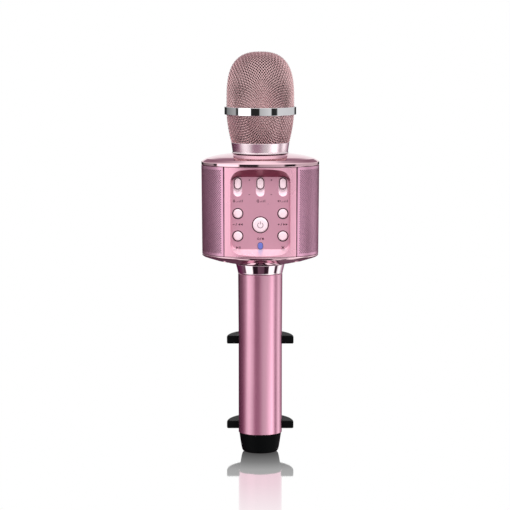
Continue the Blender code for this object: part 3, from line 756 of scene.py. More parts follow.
@dataclass
class WovenSheet:
    """Square wire cloth pressed over a turned surface.

    The cloth starts flat, with its wires along U and V. Pressing lets its cells shear,
    so they stay square along the two wire directions and lean between them.
    """

    meridian: Meridian
    hole: float = 0.0
    outward: float = 1.0
    pitch: float = 0.00146
    wire: float = 0.00026
    crimp: float = 0.00038
    stretch: float = 0.12
    turn: float = math.radians(48)

    def flat_radius(self) -> float:
        """Radius of the flat cloth's outer edge."""
        return self.hole + self.meridian.total * (1 - self.stretch)

    def place(self, u: float, v: float, lift: float) -> Vector:
        """Press one point of the flat cloth onto the surface.

        Args:
            u: First place in the flat cloth.
            v: Second place in the flat cloth.
            lift: Height over the surface.

        Returns:
            The pressed point.
        """
        flat = max(math.hypot(u, v), 1e-9)
        radius, height, out, up = self.meridian.at((flat - self.hole) / (1 - self.stretch))
        shear = min(0.25, 0.4 * max(0.0, flat / max(radius, 1e-9) - 1))
        angle = math.atan2(v, u)
        angle += shear / 4 * math.sin(4 * angle) + self.turn
        out, up = out * self.outward, up * self.outward
        around = radius + lift * out
        return Vector((around * math.cos(angle), around * math.sin(angle), height + lift * up))

    def wires(self) -> list[list[Vector]]:
        """List the wires of both directions.

        Returns:
            A row of points for each wire.
        """
        reach = self.flat_radius()
        count = int(reach / self.pitch)
        rows = []
        for along_u in (True, False):
            for i in range(-count, count + 1):
                across = (i + 0.5) * self.pitch
                for first, last in self.spans(across, reach):
                    rows.append(self.row(i, across, first, last, along_u))
        return [row for row in rows if len(row) > 2]

    def spans(self, across: float, reach: float) -> list[tuple[float, float]]:
        """Find the stretches of one flat wire that lie on the cloth.

        Args:
            across: How far the wire lies from the cloth's middle.
            reach: Radius of the cloth's outer edge.

        Returns:
            The first and last place of each stretch.
        """
        if abs(across) >= reach:
            return []
        outer = math.sqrt(reach ** 2 - across ** 2)
        if abs(across) >= self.hole:
            return [(-outer, outer)]
        inner = math.sqrt(self.hole ** 2 - across ** 2)
        return [(-outer, -inner), (inner, outer)]

    def row(self, i: int, across: float, first: float, last: float, along_u: bool) -> list[Vector]:
        """Points of one wire, over and under the wires that it crosses.

        Args:
            i: Number of the wire.
            across: How far the wire lies from the cloth's middle.
            first: Place where it starts.
            last: Place where it ends.
            along_u: Whether it runs along U.

        Returns:
            The points on the pressed surface.
        """
        low = math.ceil(first / self.pitch - 0.5)
        high = math.floor(last / self.pitch - 0.5)
        stops = [(first, 0.0)]
        for j in range(low, high + 1):
            over = 1 if (i + j) % 2 == (0 if along_u else 1) else -1
            stops.append(((j + 0.5) * self.pitch, over * self.crimp))
        stops.append((last, 0.0))
        near = 0.3 * self.pitch
        inner = [stop for stop in stops[1:-1] if stop[0] - first > near and last - stop[0] > near]
        stops = [stops[0], *inner, stops[-1]]
        return [self.place(t, across, lift) if along_u else self.place(across, t, lift) for t, lift in stops]

    def build(self, name: str) -> bpy.types.Object:
        """Draw every wire as a closed tube that follows its row of points."""
        return as_object(name, tubes(self.wires(), self.wire, 1))


@dataclass
class Head:
    """Wire-mesh dome and cup, their ring, the foam behind them and the neck collar."""

    base: float = 0.2360
    blunt: float = 3.3
    round_off: float = 2.6
    radius: float = 0.02275
    foot_radius: float = 0.0194
    proud: float = 0.00064
    cup_top: float = 0.2315
    cup_depth: float = 0.0218
    foam_gap: float = 0.0019
    foam_back: float = 0.0051

    def dome(self, inset: float, count: int = 40) -> list[Point]:
        """Outline of the blunt dome, from its top down to its widest level.

        Args:
            inset: How far it lies inside the outer face.
            count: Number of steps along it.

        Returns:
            Points, each with its radius and height.
        """
        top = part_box("grille_upper")[1].z
        points = []
        for i in range(count + 1):
            part = math.cos(0.5 * math.pi * i / count) ** 0.6
            around = max(0.0, 1 - part ** self.blunt) ** (1 / self.round_off)
            points.append(((self.radius - inset) * around, self.base + (top - inset - self.base) * part))
        return points

    def cup(self, height: float, inset: float) -> float:
        """Radius of the head below its ring."""
        part = max(0.0, (self.cup_top - height) / self.cup_depth)
        return self.radius - (self.radius - self.foot_radius) * part ** 1.8 - inset

    def meshes(self) -> None:
        """Weave the dome and the cup."""
        margin, steps = 0.0002, 24
        upper_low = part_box("grille_upper")[0].z
        dome = self.dome(self.proud) + [(self.radius - self.proud, upper_low + margin)]
        item = WovenSheet(Meridian(dome)).build("woven_dome")
        dress(item, ROSE_WIRE, stands_for=["grille_upper"], sharp=180)
        low, high = (corner.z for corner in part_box("grille_lower"))
        levels = [low + margin + (high - low - 2 * margin) * i / steps for i in range(steps + 1)]
        cup = [(self.cup(z, self.proud), z) for z in levels]
        item = WovenSheet(Meridian(cup), hole=0.0205, outward=-1.0).build("woven_cup")
        dress(item, ROSE_WIRE, stands_for=["grille_lower"], sharp=180)

    def lining(self) -> None:
        """Foam that fills the mesh from behind."""
        low, top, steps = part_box("windscreen_foam")[0].z, 0.2310, 8
        levels = [top + (low - top) * i / steps for i in range(steps + 1)]
        outer, inner = ([*self.dome(inset), *((self.cup(z, inset), z) for z in levels)]
                        for inset in (self.foam_gap, self.foam_back))
        item = as_object("foam_lining", spun(outer + inner[::-1], 72))
        dress(item, FOAM, stands_for=["windscreen_foam"], sharp=60)

    def ring(self) -> None:
        """Polished band that clasps the two halves of the mesh."""
        low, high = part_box("grille_ring")
        outer, band = high.x, 0.0231
        profile = [(outer, high.z), (outer, low.z), (band, low.z), (band, 0.23135), (0.0213, 0.23135),
                   (0.0213, 0.23195), (band, 0.23195), (band, high.z)]
        item = as_object("mesh_ring", spun(soften(profile, 0.00025), 160))
        dress(item, CHROME, stands_for=["grille_ring"], sharp=60)

    def collar(self) -> None:
        """Plated collar between the mesh and the speaker body."""
        low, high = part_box("neck_collar")
        rim = 0.2104
        profile = [(0.0195, rim), (0.0195, rim - 0.0005), (0.0187, 0.2046), (0.0187, 0.2038),
                   (0.0190, 0.2032), (0.0167, 0.2032), (0.0167, low.z), (0.0120, low.z),
                   (0.0120, 0.2060), (0.0142, 0.2060), (0.0142, rim)]
        item = as_object("neck_collar_plated", spun(soften(profile, 0.0003, 3), 128))
        dress(item, PALE_PLATED, stands_for=["neck_collar"], sharp=60)
        seat = [(0.0177, high.z), (0.0177, rim + 0.00005), (0.0143, rim + 0.00005), (0.0143, high.z)]
        dress(as_object("mesh_seat", spun(soften(seat, 0.0003), 96)), FRAME_PLASTIC,
              stands_for=["neck_collar"], sharp=60)

    def build(self) -> None:
        """Build the whole head."""
        self.meshes()
        self.lining()
        self.ring()
        self.collar()


# ------------------------------------------------------------------------ speaker body

@dataclass
class SpeakerBody:
    """Oval body: its covers, panels, control pocket and perforated sides."""

    width_low: float = 0.0391
    width_high: float = 0.0396
    ratio: float = 0.71
    panel: float = 0.0239
    skin: float = 0.0012
    floor_wall: float = 0.0015
    hole_pitch: float = 0.00160
    hole_rim: float = 0.00019
    levels: tuple[float, float] = field(init=False)

    def __post_init__(self) -> None:
        """Read the levels that the body stands between."""
        low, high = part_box("front_panel")
        self.levels = (low.z, high.z)

    def half_width(self, height: float) -> float:
        """Half width of the body, which narrows slightly downwards."""
        low, high = self.levels
        return self.width_low + (height - low) / (high - low) * (self.width_high - self.width_low)

    def ring(self, height: float, inset: float) -> Ring:
        """Oval of the body at a height, inset from its outer face."""
        half = self.half_width(height)
        return oval(half - inset, half * self.ratio - inset, height, 240)

    def cover(self, name: str, outline: Sequence[Point], rim: float, hub: float, posts: float = 0.0) -> None:
        """Domed cover: oval at its rim and round at its hub.

        Args:
            name: The CAD node that it stands for.
            outline: Closed outline of (half width, height) points.
            rim: Half width at the rim.
            hub: Radius at the hub.
            posts: Height of the screw wells' mouths, or 0 for none.
        """
        rings = []
        for across, height in soften(outline, 0.00035, 3):
            part = (across - hub) / (rim - hub)
            rings.append(oval(across, hub + part * (rim * self.ratio - hub), height, 176))
        shell = skinned(rings, joined=True)
        if not posts:
            item = as_object(f"{name}_plated", shell)
        else:
            item = self.with_screw_wells(f"{name}_plated", shell, posts)
        dress(item, ROSE_PLATED, stands_for=[name], sharp=50)

    def with_screw_wells(self, name: str, shell: bmesh.types.BMesh, top: float) -> bpy.types.Object:
        """Weld a post under each screw and sink its head in it.

        Args:
            name: Name of the piece.
            shell: The plain cover.
            top: Height of the posts' upper ends.

        Returns:
            The finished cover.
        """
        posts, wells = [], []
        for i in range(1, 5):
            x, y, _ = centre(f"body_screw_{i}")
            posts.append(bar(Vector((x, y, 0.1310)), Vector((x, y, top)), 0.0034, 32))
            wells.append(bar(Vector((x, y, 0.1250)), Vector((x, y, 0.1326)), 0.0026, 32))
            wells.append(bar(Vector((x, y, 0.1300)), Vector((x, y, 0.1370)), 0.0014, 20))
        return carved(name, shell, cuts=wells, lumps=posts)

    def covers(self) -> None:
        """Both covers."""
        rim, hub, low = self.width_high, 0.0170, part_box("top_cover")[0].z
        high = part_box("top_cover")[1].z
        self.cover("top_cover", [
            (rim, low), (rim, 0.1974), (0.0391, 0.1980), (0.0364, 0.1995), (0.0330, 0.2005),
            (0.0292, 0.2014), (0.0235, 0.2023), (0.0205, 0.2026), (0.0192, high), (hub, high),
            (hub, 0.2011), (0.0233, 0.2006), (0.0288, 0.1997), (0.0356, 0.1978), (0.0378, 0.1966),
            (0.0378, low)], rim, hub)
        rim, hub, high = self.width_low, 0.0146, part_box("bottom_cover")[1].z
        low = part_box("bottom_cover")[0].z
        self.cover("bottom_cover", [
            (rim, high), (rim - 0.0001, 0.1343), (0.0378, 0.1334), (0.0354, 0.1326), (0.0286, 0.1306),
            (0.0220, 0.1294), (0.0169, low), (hub, low), (hub, 0.1306), (0.0218, 0.1313), (0.0282, 0.1325),
            (0.0344, 0.1343), (0.0370, high)], rim, hub, posts=high)

    def pocket(self) -> bmesh.types.BMesh:
        """Shape of the sunk control pocket.

        Returns:
            A closed bmesh that cuts it.
        """
        mouth = rounded_rectangle(0.0204, 0.1357, 0.1947, 0.0072)
        floor = rounded_rectangle(0.0193, 0.1401, 0.1884, 0.0052)
        front, steps, rings = -0.0290, 6, []
        for step in range(steps + 1):
            t = step / steps
            ease = math.sin(0.5 * math.pi * t) * 0.3 + t * 0.7
            depth = front + (FLOOR_Y - front) * ease
            rings.append([Vector((a[0] + (b[0] - a[0]) * t, depth, a[1] + (b[1] - a[1]) * t))
                          for a, b in zip(mouth, floor)])
        return skinned(rings)

    def holes(self) -> list[bmesh.types.BMesh]:
        """Shapes of the slots, the button holes and the light's hole.

        Returns:
            A closed bmesh for each hole.
        """
        front, back = FLOOR_Y - 0.002, FLOOR_Y + self.floor_wall + 0.001
        shift = Vector((0, back - front, 0))
        cuts = []
        for x in (-CONTROL_X, 0.0, CONTROL_X):
            slot = [Vector((x + a, front, 0.1819 + b)) for a, b in stadium(0.0058, 0.0130)]
            cuts.append(slab(slot, shift))
        for key in KEYS:
            x, _, z = centre(key.node)
            cuts.append(bar(Vector((x, front, z)), Vector((x, back, z)), key.hole, 56))
        middle = centre("status_light")[2]
        cuts.append(slab([Vector((a, front, middle + b)) for a, b in stadium(0.0038, 0.0050)], shift))
        return cuts

    def front_panel(self) -> None:
        """Gloss panel with the sunk pocket."""
        low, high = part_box("front_panel")
        whole = skinned([self.ring(low.z, 0), self.ring(high.z, 0)])
        window = block(Vector((low.x, -0.05, low.z - 0.01)),
                       Vector((high.x, FLOOR_Y + self.floor_wall, high.z + 0.01)))
        item = carved("front_panel_gloss", whole, cuts=[self.pocket(), *self.holes()], within=window,
                      edge=0.00045, segments=3, angle=38)
        dress(item, ROSE_PEARL, stands_for=["front_panel"], sharp=40)

    def strip(self, half: float, height: float, steps: int = 96) -> Ring:
        """Outline of the rear panel at a height: its outer arc, then its inner arc.

        Args:
            half: Half width of the panel.
            height: Level of the outline.
            steps: Number of flats along each arc.

        Returns:
            Closed ring of points.
        """
        points = []
        for inset, way in ((0.0, 1), (self.skin, -1)):
            across, deep = self.half_width(height) - inset, self.half_width(height) * self.ratio - inset
            for i in range(steps + 1):
                x = way * half * (1 - 2 * i / steps)
                points.append(Vector((x, deep * math.sqrt(1 - (x / across) ** 2), height)))
        return points

    def rear_panel(self) -> None:
        """Gloss panel on the back, with its two socket openings."""
        low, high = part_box("rear_panel")
        shell = skinned([self.strip(high.x, low.z + (high.z - low.z) * i / 4) for i in range(5)])
        socket_z, socket_x = 0.1450, 0.0070
        slot = slab([Vector((b - socket_x, 0.02, a + socket_z)) for a, b in stadium(0.0036, 0.0088)],
                    Vector((0, 0.02, 0)))
        jack = bar(Vector((socket_x, 0.02, socket_z)), Vector((socket_x, 0.04, socket_z)), 0.0034)
        item = carved("rear_panel_gloss", shell, cuts=[slot, jack], edge=0.0002, segments=2, angle=40)
        dress(item, ROSE_PEARL, stands_for=["rear_panel"], sharp=40)

    def perforated(self, name: str, side: int) -> None:
        """Perforated side skin with real holes, wrapped round the body.

        Args:
            name: The CAD node that it stands for.
            side: 1 for the right side, -1 for the left.
        """
        low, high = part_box(name)
        edge = self.panel + 0.0006
        start = math.acos(edge / self.half_width(low.z))
        middle = (low.z + high.z) / 2
        arc = self.arc_angles(start)
        length = len(arc) - 1
        width, tall = length * self.hole_pitch, high.z - low.z
        bm = bmesh.new()
        size = max(width, tall) * 0.75
        cells = int(2 * size / (self.hole_pitch / math.sqrt(2)))
        bmesh.ops.create_grid(bm, x_segments=cells, y_segments=cells, size=size)
        bmesh.ops.rotate(bm, verts=bm.verts, cent=(0, 0, 0), matrix=Matrix.Rotation(math.pi / 4, 3, "Z"))
        for normal, reach in (((1, 0, 0), width / 2), ((-1, 0, 0), width / 2),
                              ((0, 1, 0), tall / 2), ((0, -1, 0), tall / 2)):
            spot = Vector(normal) * reach
            bmesh.ops.bisect_plane(bm, geom=bm.verts[:] + bm.edges[:] + bm.faces[:], dist=WELD,
                                   plane_co=spot, plane_no=normal, clear_outer=True)
        rim = self.hole_pitch * 0.9
        whole = (2 * size / cells) ** 2 * 0.98
        inner = [face for face in bm.faces if face.calc_area() > whole
                 and abs(face.calc_center_median().x) < width / 2 - rim
                 and abs(face.calc_center_median().y) < tall / 2 - rim]
        bmesh.ops.inset_individual(bm, faces=inner, thickness=self.hole_rim, use_even_offset=True)
        bmesh.ops.delete(bm, geom=inner, context="FACES")
        for vert in bm.verts:
            along = (vert.co.x / width + 0.5) * length
            step = min(int(along), length - 1)
            angle = arc[step] + (arc[step + 1] - arc[step]) * (along - step)
            height = middle + vert.co.y
            half = self.half_width(height)
            vert.co = Vector((side * half * math.cos(angle), half * self.ratio * math.sin(angle), height))
        bmesh.ops.recalc_face_normals(bm, faces=bm.faces)
        item = as_object(f"{name}_perforated", bm)
        face = item.data.polygons[0]
        outward = face.normal.dot(Vector((face.center.x, face.center.y, 0))) > 0
        wall = item.modifiers.new("wall", "SOLIDIFY")
        wall.thickness = 0.0006
        wall.offset = -1.0 if outward else 1.0
        bake(item)
        dress(item, PERFORATED, stands_for=[name], sharp=30)

    def arc_angles(self, start: float) -> list[float]:
        """Angles along the oval's side at even steps of one hole pitch.

        Args:
            start: Angle on the oval at the front edge of the side.

        Returns:
            Angles from the front edge to the rear edge.
        """
        fine, lengths = 2000, [0.0]
        half = (self.width_low + self.width_high) / 2
        spots = [(half * math.cos(a), half * self.ratio * math.sin(a))
                 for a in (-start + 2 * start * i / fine for i in range(fine + 1))]
        for a, b in zip(spots, spots[1:]):
            lengths.append(lengths[-1] + math.dist(a, b))
        steps = round(lengths[-1] / self.hole_pitch)
        angles, i = [], 0
        for step in range(steps + 1):
            goal = lengths[-1] * step / steps
            while i < fine and lengths[i] < goal:
                i += 1
            angles.append(-start + 2 * start * i / fine)
        return angles

    def build(self) -> None:
        """Build the whole body."""
        self.covers()
        self.front_panel()
        self.rear_panel()
        self.perforated("grille_left", -1)
        self.perforated("grille_right", 1)


# ------------------------------------------------------------------------ controls

@dataclass(frozen=True)
class Key:
    """One push button."""

    node: str
    body: str
    radius: float
    hole: float


KEYS: tuple[Key, ...] = (
    Key("button_back", "back_key", 0.00305, 0.00375),
    Key("button_next", "next_key", 0.00305, 0.00375),
    Key("button_play", "play_key", 0.00305, 0.00375),
    Key("button_mode", "mode_key", 0.00305, 0.00375),
    Key("power_button", "power_key", 0.0050, 0.00565),
)


class Pen:
    """Draws flat printed marks in a plane that faces -Y."""

    def __init__(self, plane_y: float, lift: float = 0.00006) -> None:
        """Set the plane and how proud of it the ink stands.

        Args:
            plane_y: Place of the plane along Y.
            lift: How proud of it the ink stands.
        """
        self.plane_y = plane_y
        self.lift = lift
        self.strokes: list[bmesh.types.BMesh] = []

    def patch(self, outline: Sequence[Point]) -> None:
        """Ink a filled outline of (x, z) points."""
        face = [Vector((x, self.plane_y - self.lift, z)) for x, z in outline]
        self.strokes.append(slab(face, Vector((0, self.lift + 0.00003, 0))))

    def line(self, start: Point, end: Point, width: float) -> None:
        """Ink a straight line.

        Args:
            start: Its first end.
            end: Its second end.
            width: Its width.
        """
        a, b = Vector(start), Vector(end)
        side = (b - a).orthogonal().normalized() * width / 2
        self.patch([tuple(a + side), tuple(a - side), tuple(b - side), tuple(b + side)])

    def arc(self, middle: Point, radius: float, first: float, last: float, width: float,
            steps: int = 24) -> None:
        """Ink part of a circle.

        Args:
            middle: Middle of the circle.
            radius: Its radius.
            first: Angle where it starts, in degrees.
            last: Angle where it ends, in degrees.
            width: Width of the line.
            steps: Number of flats along it.
        """
        if last - first >= 360:
            half = steps // 2
            self.arc(middle, radius, first, first + 180, width, half)
            self.arc(middle, radius, first + 180, first + 360, width, half)
            return
        turns = [math.radians(first + (last - first) * i / steps) for i in range(steps + 1)]
        x, z = middle
        outer, inner = ([(x + reach * math.cos(a), z + reach * math.sin(a)) for a in turns]
                        for reach in (radius + width / 2, radius - width / 2))
        self.patch(outer + inner[::-1])

    def arrow(self, tip: Point, length: float, height: float) -> None:
        """Ink a solid triangle; a negative length points left."""
        self.patch([tip, (tip[0] - length, tip[1] + height / 2), (tip[0] - length, tip[1] - height / 2)])

    def finish(self, name: str, finish: Finish, slot: str, body: str = ROOT) -> bpy.types.Object:
        """Gather the strokes into one piece."""
        return dress(as_object(name, merged(self.strokes)), finish, body, sharp=20)


@dataclass
class Controls:
    """Sliders, buttons, status light and the printed marks of the pocket."""

    slot_high: float = 0.1884
    ink: float = 0.00036

    def keys(self) -> None:
        """Push buttons with softly rounded caps."""
        for key in KEYS:
            x, _, z = centre(key.node)
            r = key.radius
            cap = [(0, 0.00088), (r * 0.5, 0.00086), (r * 0.8, 0.0008), (r - 0.0005, 0.00066),
                   (r - 0.00015, 0.0004), (r, 0.0), (r, -0.0006), (0, -0.0006)]
            stem = [(0, -0.0006), (r, -0.0006), (r, -0.0018), (r + 0.0013, -0.0018),
                    (r + 0.0013, -0.0025), (0.0012, -0.0025), (0.0012, -0.0031), (0, -0.0031)]
            turn = Matrix.Translation((x, FLOOR_Y, z)) @ Matrix.Rotation(math.pi / 2, 4, "X")
            # the dark stem shows in the gap round each cap as a painted shadow ring
            for part, profile, finish in (("cap", cap, PEARL_KEY), ("stem", stem, PLUM_SHADOW_RIM)):
                bm = spun(profile, 64)
                bm.transform(turn)
                dress(as_object(f"{key.node}_{part}", bm), finish, key.body, [key.node], 40)

    def power_mark(self) -> None:
        """Stand-by symbol on the power button."""
        z = centre("power_button")[2]
        pen = Pen(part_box("power_button")[0].y + 0.00006, 0.00005)
        pen.arc((0, z - 0.0002), 0.0018, 120, 420, self.ink * 1.3, 40)
        pen.line((0, z + 0.0004), (0, z + 0.0024), self.ink * 1.3)
        pen.finish("power_symbol", GREY_PRINT, "pearl", "power_key")

    def sliders(self) -> None:
        """Slide knobs on their dust plates."""
        for i in range(1, 4):
            node = f"slider_knob_{i}"
            low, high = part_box(node)
            x = (low.x + high.x) / 2
            middle = self.slot_high - 0.0003 - 0.0040
            plate = block(Vector((low.x, -0.0182, low.z)), Vector((high.x, -0.0176, high.z)))
            tongue = block(Vector((x - 0.0005, -0.0179, middle - 0.0006)),
                           Vector((x + 0.0005, high.y, middle + 0.0006)))
            item = carved(f"{node}_plate", plate, lumps=[tongue])
            # the plate's faint glow is painted light that brightens the shaded slot
            dress(item, GLOWING_SLOT_PLATE, f"slider_{i}", [node], 32)
            # the skirt is a real part whose dark colour paints the shadow rim round the cap
            skirt = [(-0.0004, 0.0003), (-0.00025, 0.0001), (0.0, 0.0), (0.0018, 0.0)]
            item = as_object(f"{node}_skirt", self.pill(x, middle, 0.0052, 0.0080, skirt))
            dress(item, PLUM_SHADOW_RIM, f"slider_{i}", [node], 32)
            cap = [(-0.0010, 0.0006), (-0.00096, 0.0003), (-0.0008, 0.0001), (-0.0005, 0.0), (-0.0003, 0.0)]
            item = as_object(f"{node}_cap", self.pill(x, middle, 0.0041, 0.0069, cap))
            dress(item, PEARL_KEY, f"slider_{i}", [node], 32)

    def pill(self, x: float, z: float, width: float, length: float,
             levels: Sequence[Point]) -> bmesh.types.BMesh:
        """Upright pill that stands on the pocket's floor.

        Args:
            x: Its middle across the body.
            z: Its middle up the body.
            width: Its width.
            length: Its length, end to end.
            levels: Pairs of depth behind the floor and inset, from its face to its back.

        Returns:
            A closed bmesh.
        """
        rings = []
        for depth, inset in levels:
            shape = stadium(width - 2 * inset, length - 2 * inset)
            rings.append([Vector((x + a, FLOOR_Y + depth, z + b)) for a, b in shape])
        return skinned(rings)

    def light(self) -> None:
        """Glowing pill of the status light in its bezel."""
        lens = self.pill(0.0, centre("status_light")[2], 0.0032, 0.0044,
                         [(-0.0003, 0.0005), (-0.00024, 0.0002), (-0.0001, 0.0), (0.0036, 0.0)])
        dress(as_object("status_lens", lens), BLUE_LIGHT, stands_for=["status_light"])

    def marks(self) -> None:
        """Printed signs beside the controls: pictures only, no words."""
        pen = Pen(FLOOR_Y)
        w = self.ink
        for x in (-0.0073, 0.0073):
            pen.line((x - 0.0005, 0.1864), (x + 0.0005, 0.1864), w)
            pen.line((x, 0.1859), (x, 0.1869), w)
            pen.line((x - 0.0005, 0.1767), (x + 0.0005, 0.1767), w)
        self.slider_marks(pen, 0.1724)
        self.key_marks(pen, 0.1568, 0.1413)
        pen.finish("printed_marks", PLUM_PRINT, "rose_gloss")

    def slider_marks(self, pen: Pen, z: float) -> None:
        """Marks under the sliders: a microphone, echo rings and a loudspeaker, each with a rising scale.

        Args:
            pen: Pen that draws them.
            z: Height of their middle.
        """
        w = self.ink
        pen.patch([(-0.0175 + a, z + 0.0003 + b) for a, b in stadium(0.0007, 0.0015, 6)])
        pen.arc((-0.0175, z + 0.0001), 0.0007, 190, 350, w * 0.7, 10)
        pen.line((-0.0175, z - 0.0006), (-0.0175, z - 0.0010), w)
        for radius in (0.0005, 0.0011, 0.0017):
            pen.arc((-0.0028, z), radius, -50, 50, w * 0.8, 10)
        pen.patch([(0.0114, z + 0.0003), (0.0119, z + 0.0003), (0.0126, z + 0.0009), (0.0126, z - 0.0009),
                   (0.0119, z - 0.0003), (0.0114, z - 0.0003)])
        pen.arc((0.0126, z), 0.0008, -50, 50, w * 0.8, 10)
        for middle in (-CONTROL_X, 0.0, CONTROL_X):
            for step in range(5):
                x = middle - 0.0010 + step * 0.0010
                pen.line((x, z - 0.0008), (x, z - 0.0004 + step * 0.0003), w)

    def key_marks(self, pen: Pen, upper: float, lower: float) -> None:
        """Marks under the buttons.

        Args:
            pen: Pen that draws them.
            upper: Height of the marks under the upper buttons.
            lower: Height of the marks under the lower buttons.
        """
        w = self.ink
        for side in (-1, 1):
            x = side * CONTROL_X
            pen.line((x - 0.0034, upper), (x - 0.0022, upper), w)
            if side > 0:
                pen.line((x - 0.0028, upper - 0.0006), (x - 0.0028, upper + 0.0006), w)
            pen.line((x - 0.0014, upper - 0.0008), (x - 0.0006, upper + 0.0008), w)
            for shift in (0.0009, 0.0025):
                pen.arrow((x + shift + (0.0007 if side > 0 else -0.0007), upper), side * 0.0014, 0.0015)
        middle = 0.1472
        pen.arc((-0.0014, middle), 0.0006, 0, 360, w * 0.9, 20)
        pen.line((-0.0003, middle - 0.0008), (0.0005, middle + 0.0008), w)
        pen.patch([(0.0011, middle - 0.0006), (0.0023, middle - 0.0006), (0.0023, middle + 0.0006),
                   (0.0011, middle + 0.0006)])
        pen.arrow((-0.0146, lower), 0.0015, 0.0016)
        for x in (-0.0141, -0.0134):
            pen.line((x, lower - 0.0008), (x, lower + 0.0008), w)
        pen.patch([(0.0150, lower + 0.0009), (0.0143, lower), (0.0150, lower - 0.0009), (0.0157, lower)])
        for turn in range(4):
            angle = math.radians(45 + 90 * turn)
            spot = Vector((math.cos(angle), math.sin(angle)))
            a, b = spot * 0.0009, spot * 0.0014
            pen.line((CONTROL_X + a.x, lower + a.y), (CONTROL_X + b.x, lower + b.y), w)

    def build(self) -> None:
        """Build every control."""
        self.keys()
        self.power_mark()
        self.sliders()
        self.light()
        self.marks()


# ------------------------------------------------------------------------ handle

@dataclass
class Handle:
    """Plated collar, anodised tube and end cap."""

    def collar(self) -> None:
        """Plated collar under the body."""
        low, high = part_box("handle_collar")
        shoulder, waist = 0.1284, 0.1222
        profile = [(0.0142, high.z), (0.0142, shoulder), (0.0165, shoulder), (0.0151, waist + 0.0006),
                   (0.0151, waist), (0.0133, waist), (0.0133, low.z), (0.0115, low.z), (0.0115, high.z)]
        item = as_object("handle_collar_plated", spun(soften(profile, 0.0003, 3), 128))
        dress(item, BRIGHT_PLATED, stands_for=["handle_collar"], sharp=60)

    def tube(self) -> None:
        """Anodised tube with its two screw holes at the back."""
        low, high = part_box("handle_tube")
        profile = [(high.x, high.z), (0.01465, 0.0800), (0.01465, low.z), (0.0136, low.z), (0.0136, high.z)]
        holes = []
        for i in (1, 2):
            x, _, z = centre(f"clamp_screw_{i}")
            holes.append(bar(Vector((x, 0.006, z)), Vector((x, 0.020, z)), 0.0014, 24))
        item = carved("handle_tube_anodised", spun(soften(profile, 0.0003, 3), 128), cuts=holes)
        dress(item, ROSE_ANODISED, stands_for=["handle_tube"], sharp=40)

    def foot(self) -> None:
        """End cap with a soft lower edge and a fine groove near its top."""
        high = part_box("foot_cap")[1].z
        profile = [(0.01325, high), (0.01325, 0.0130), (0.0142, 0.0130), (0.0140, 0.0119), (0.0138, 0.0104),
                   (0.0133, 0.0070), (0.0127, 0.0034), (0.0122, 0.0014), (0.0115, 0.0004), (0.0104, 0.0),
                   (0, 0), (0, 0.0030), (0.0110, 0.0030), (0.0110, high)]
        item = as_object("foot_cap_black", spun(soften(profile, 0.0006, 3), 112))
        dress(item, BLACK_SATIN, stands_for=["foot_cap"], sharp=50)

    def build(self) -> None:
        """Build the handle."""
        self.collar()
        self.tube()
        self.foot()


# ------------------------------------------------------------------------ phone clamp

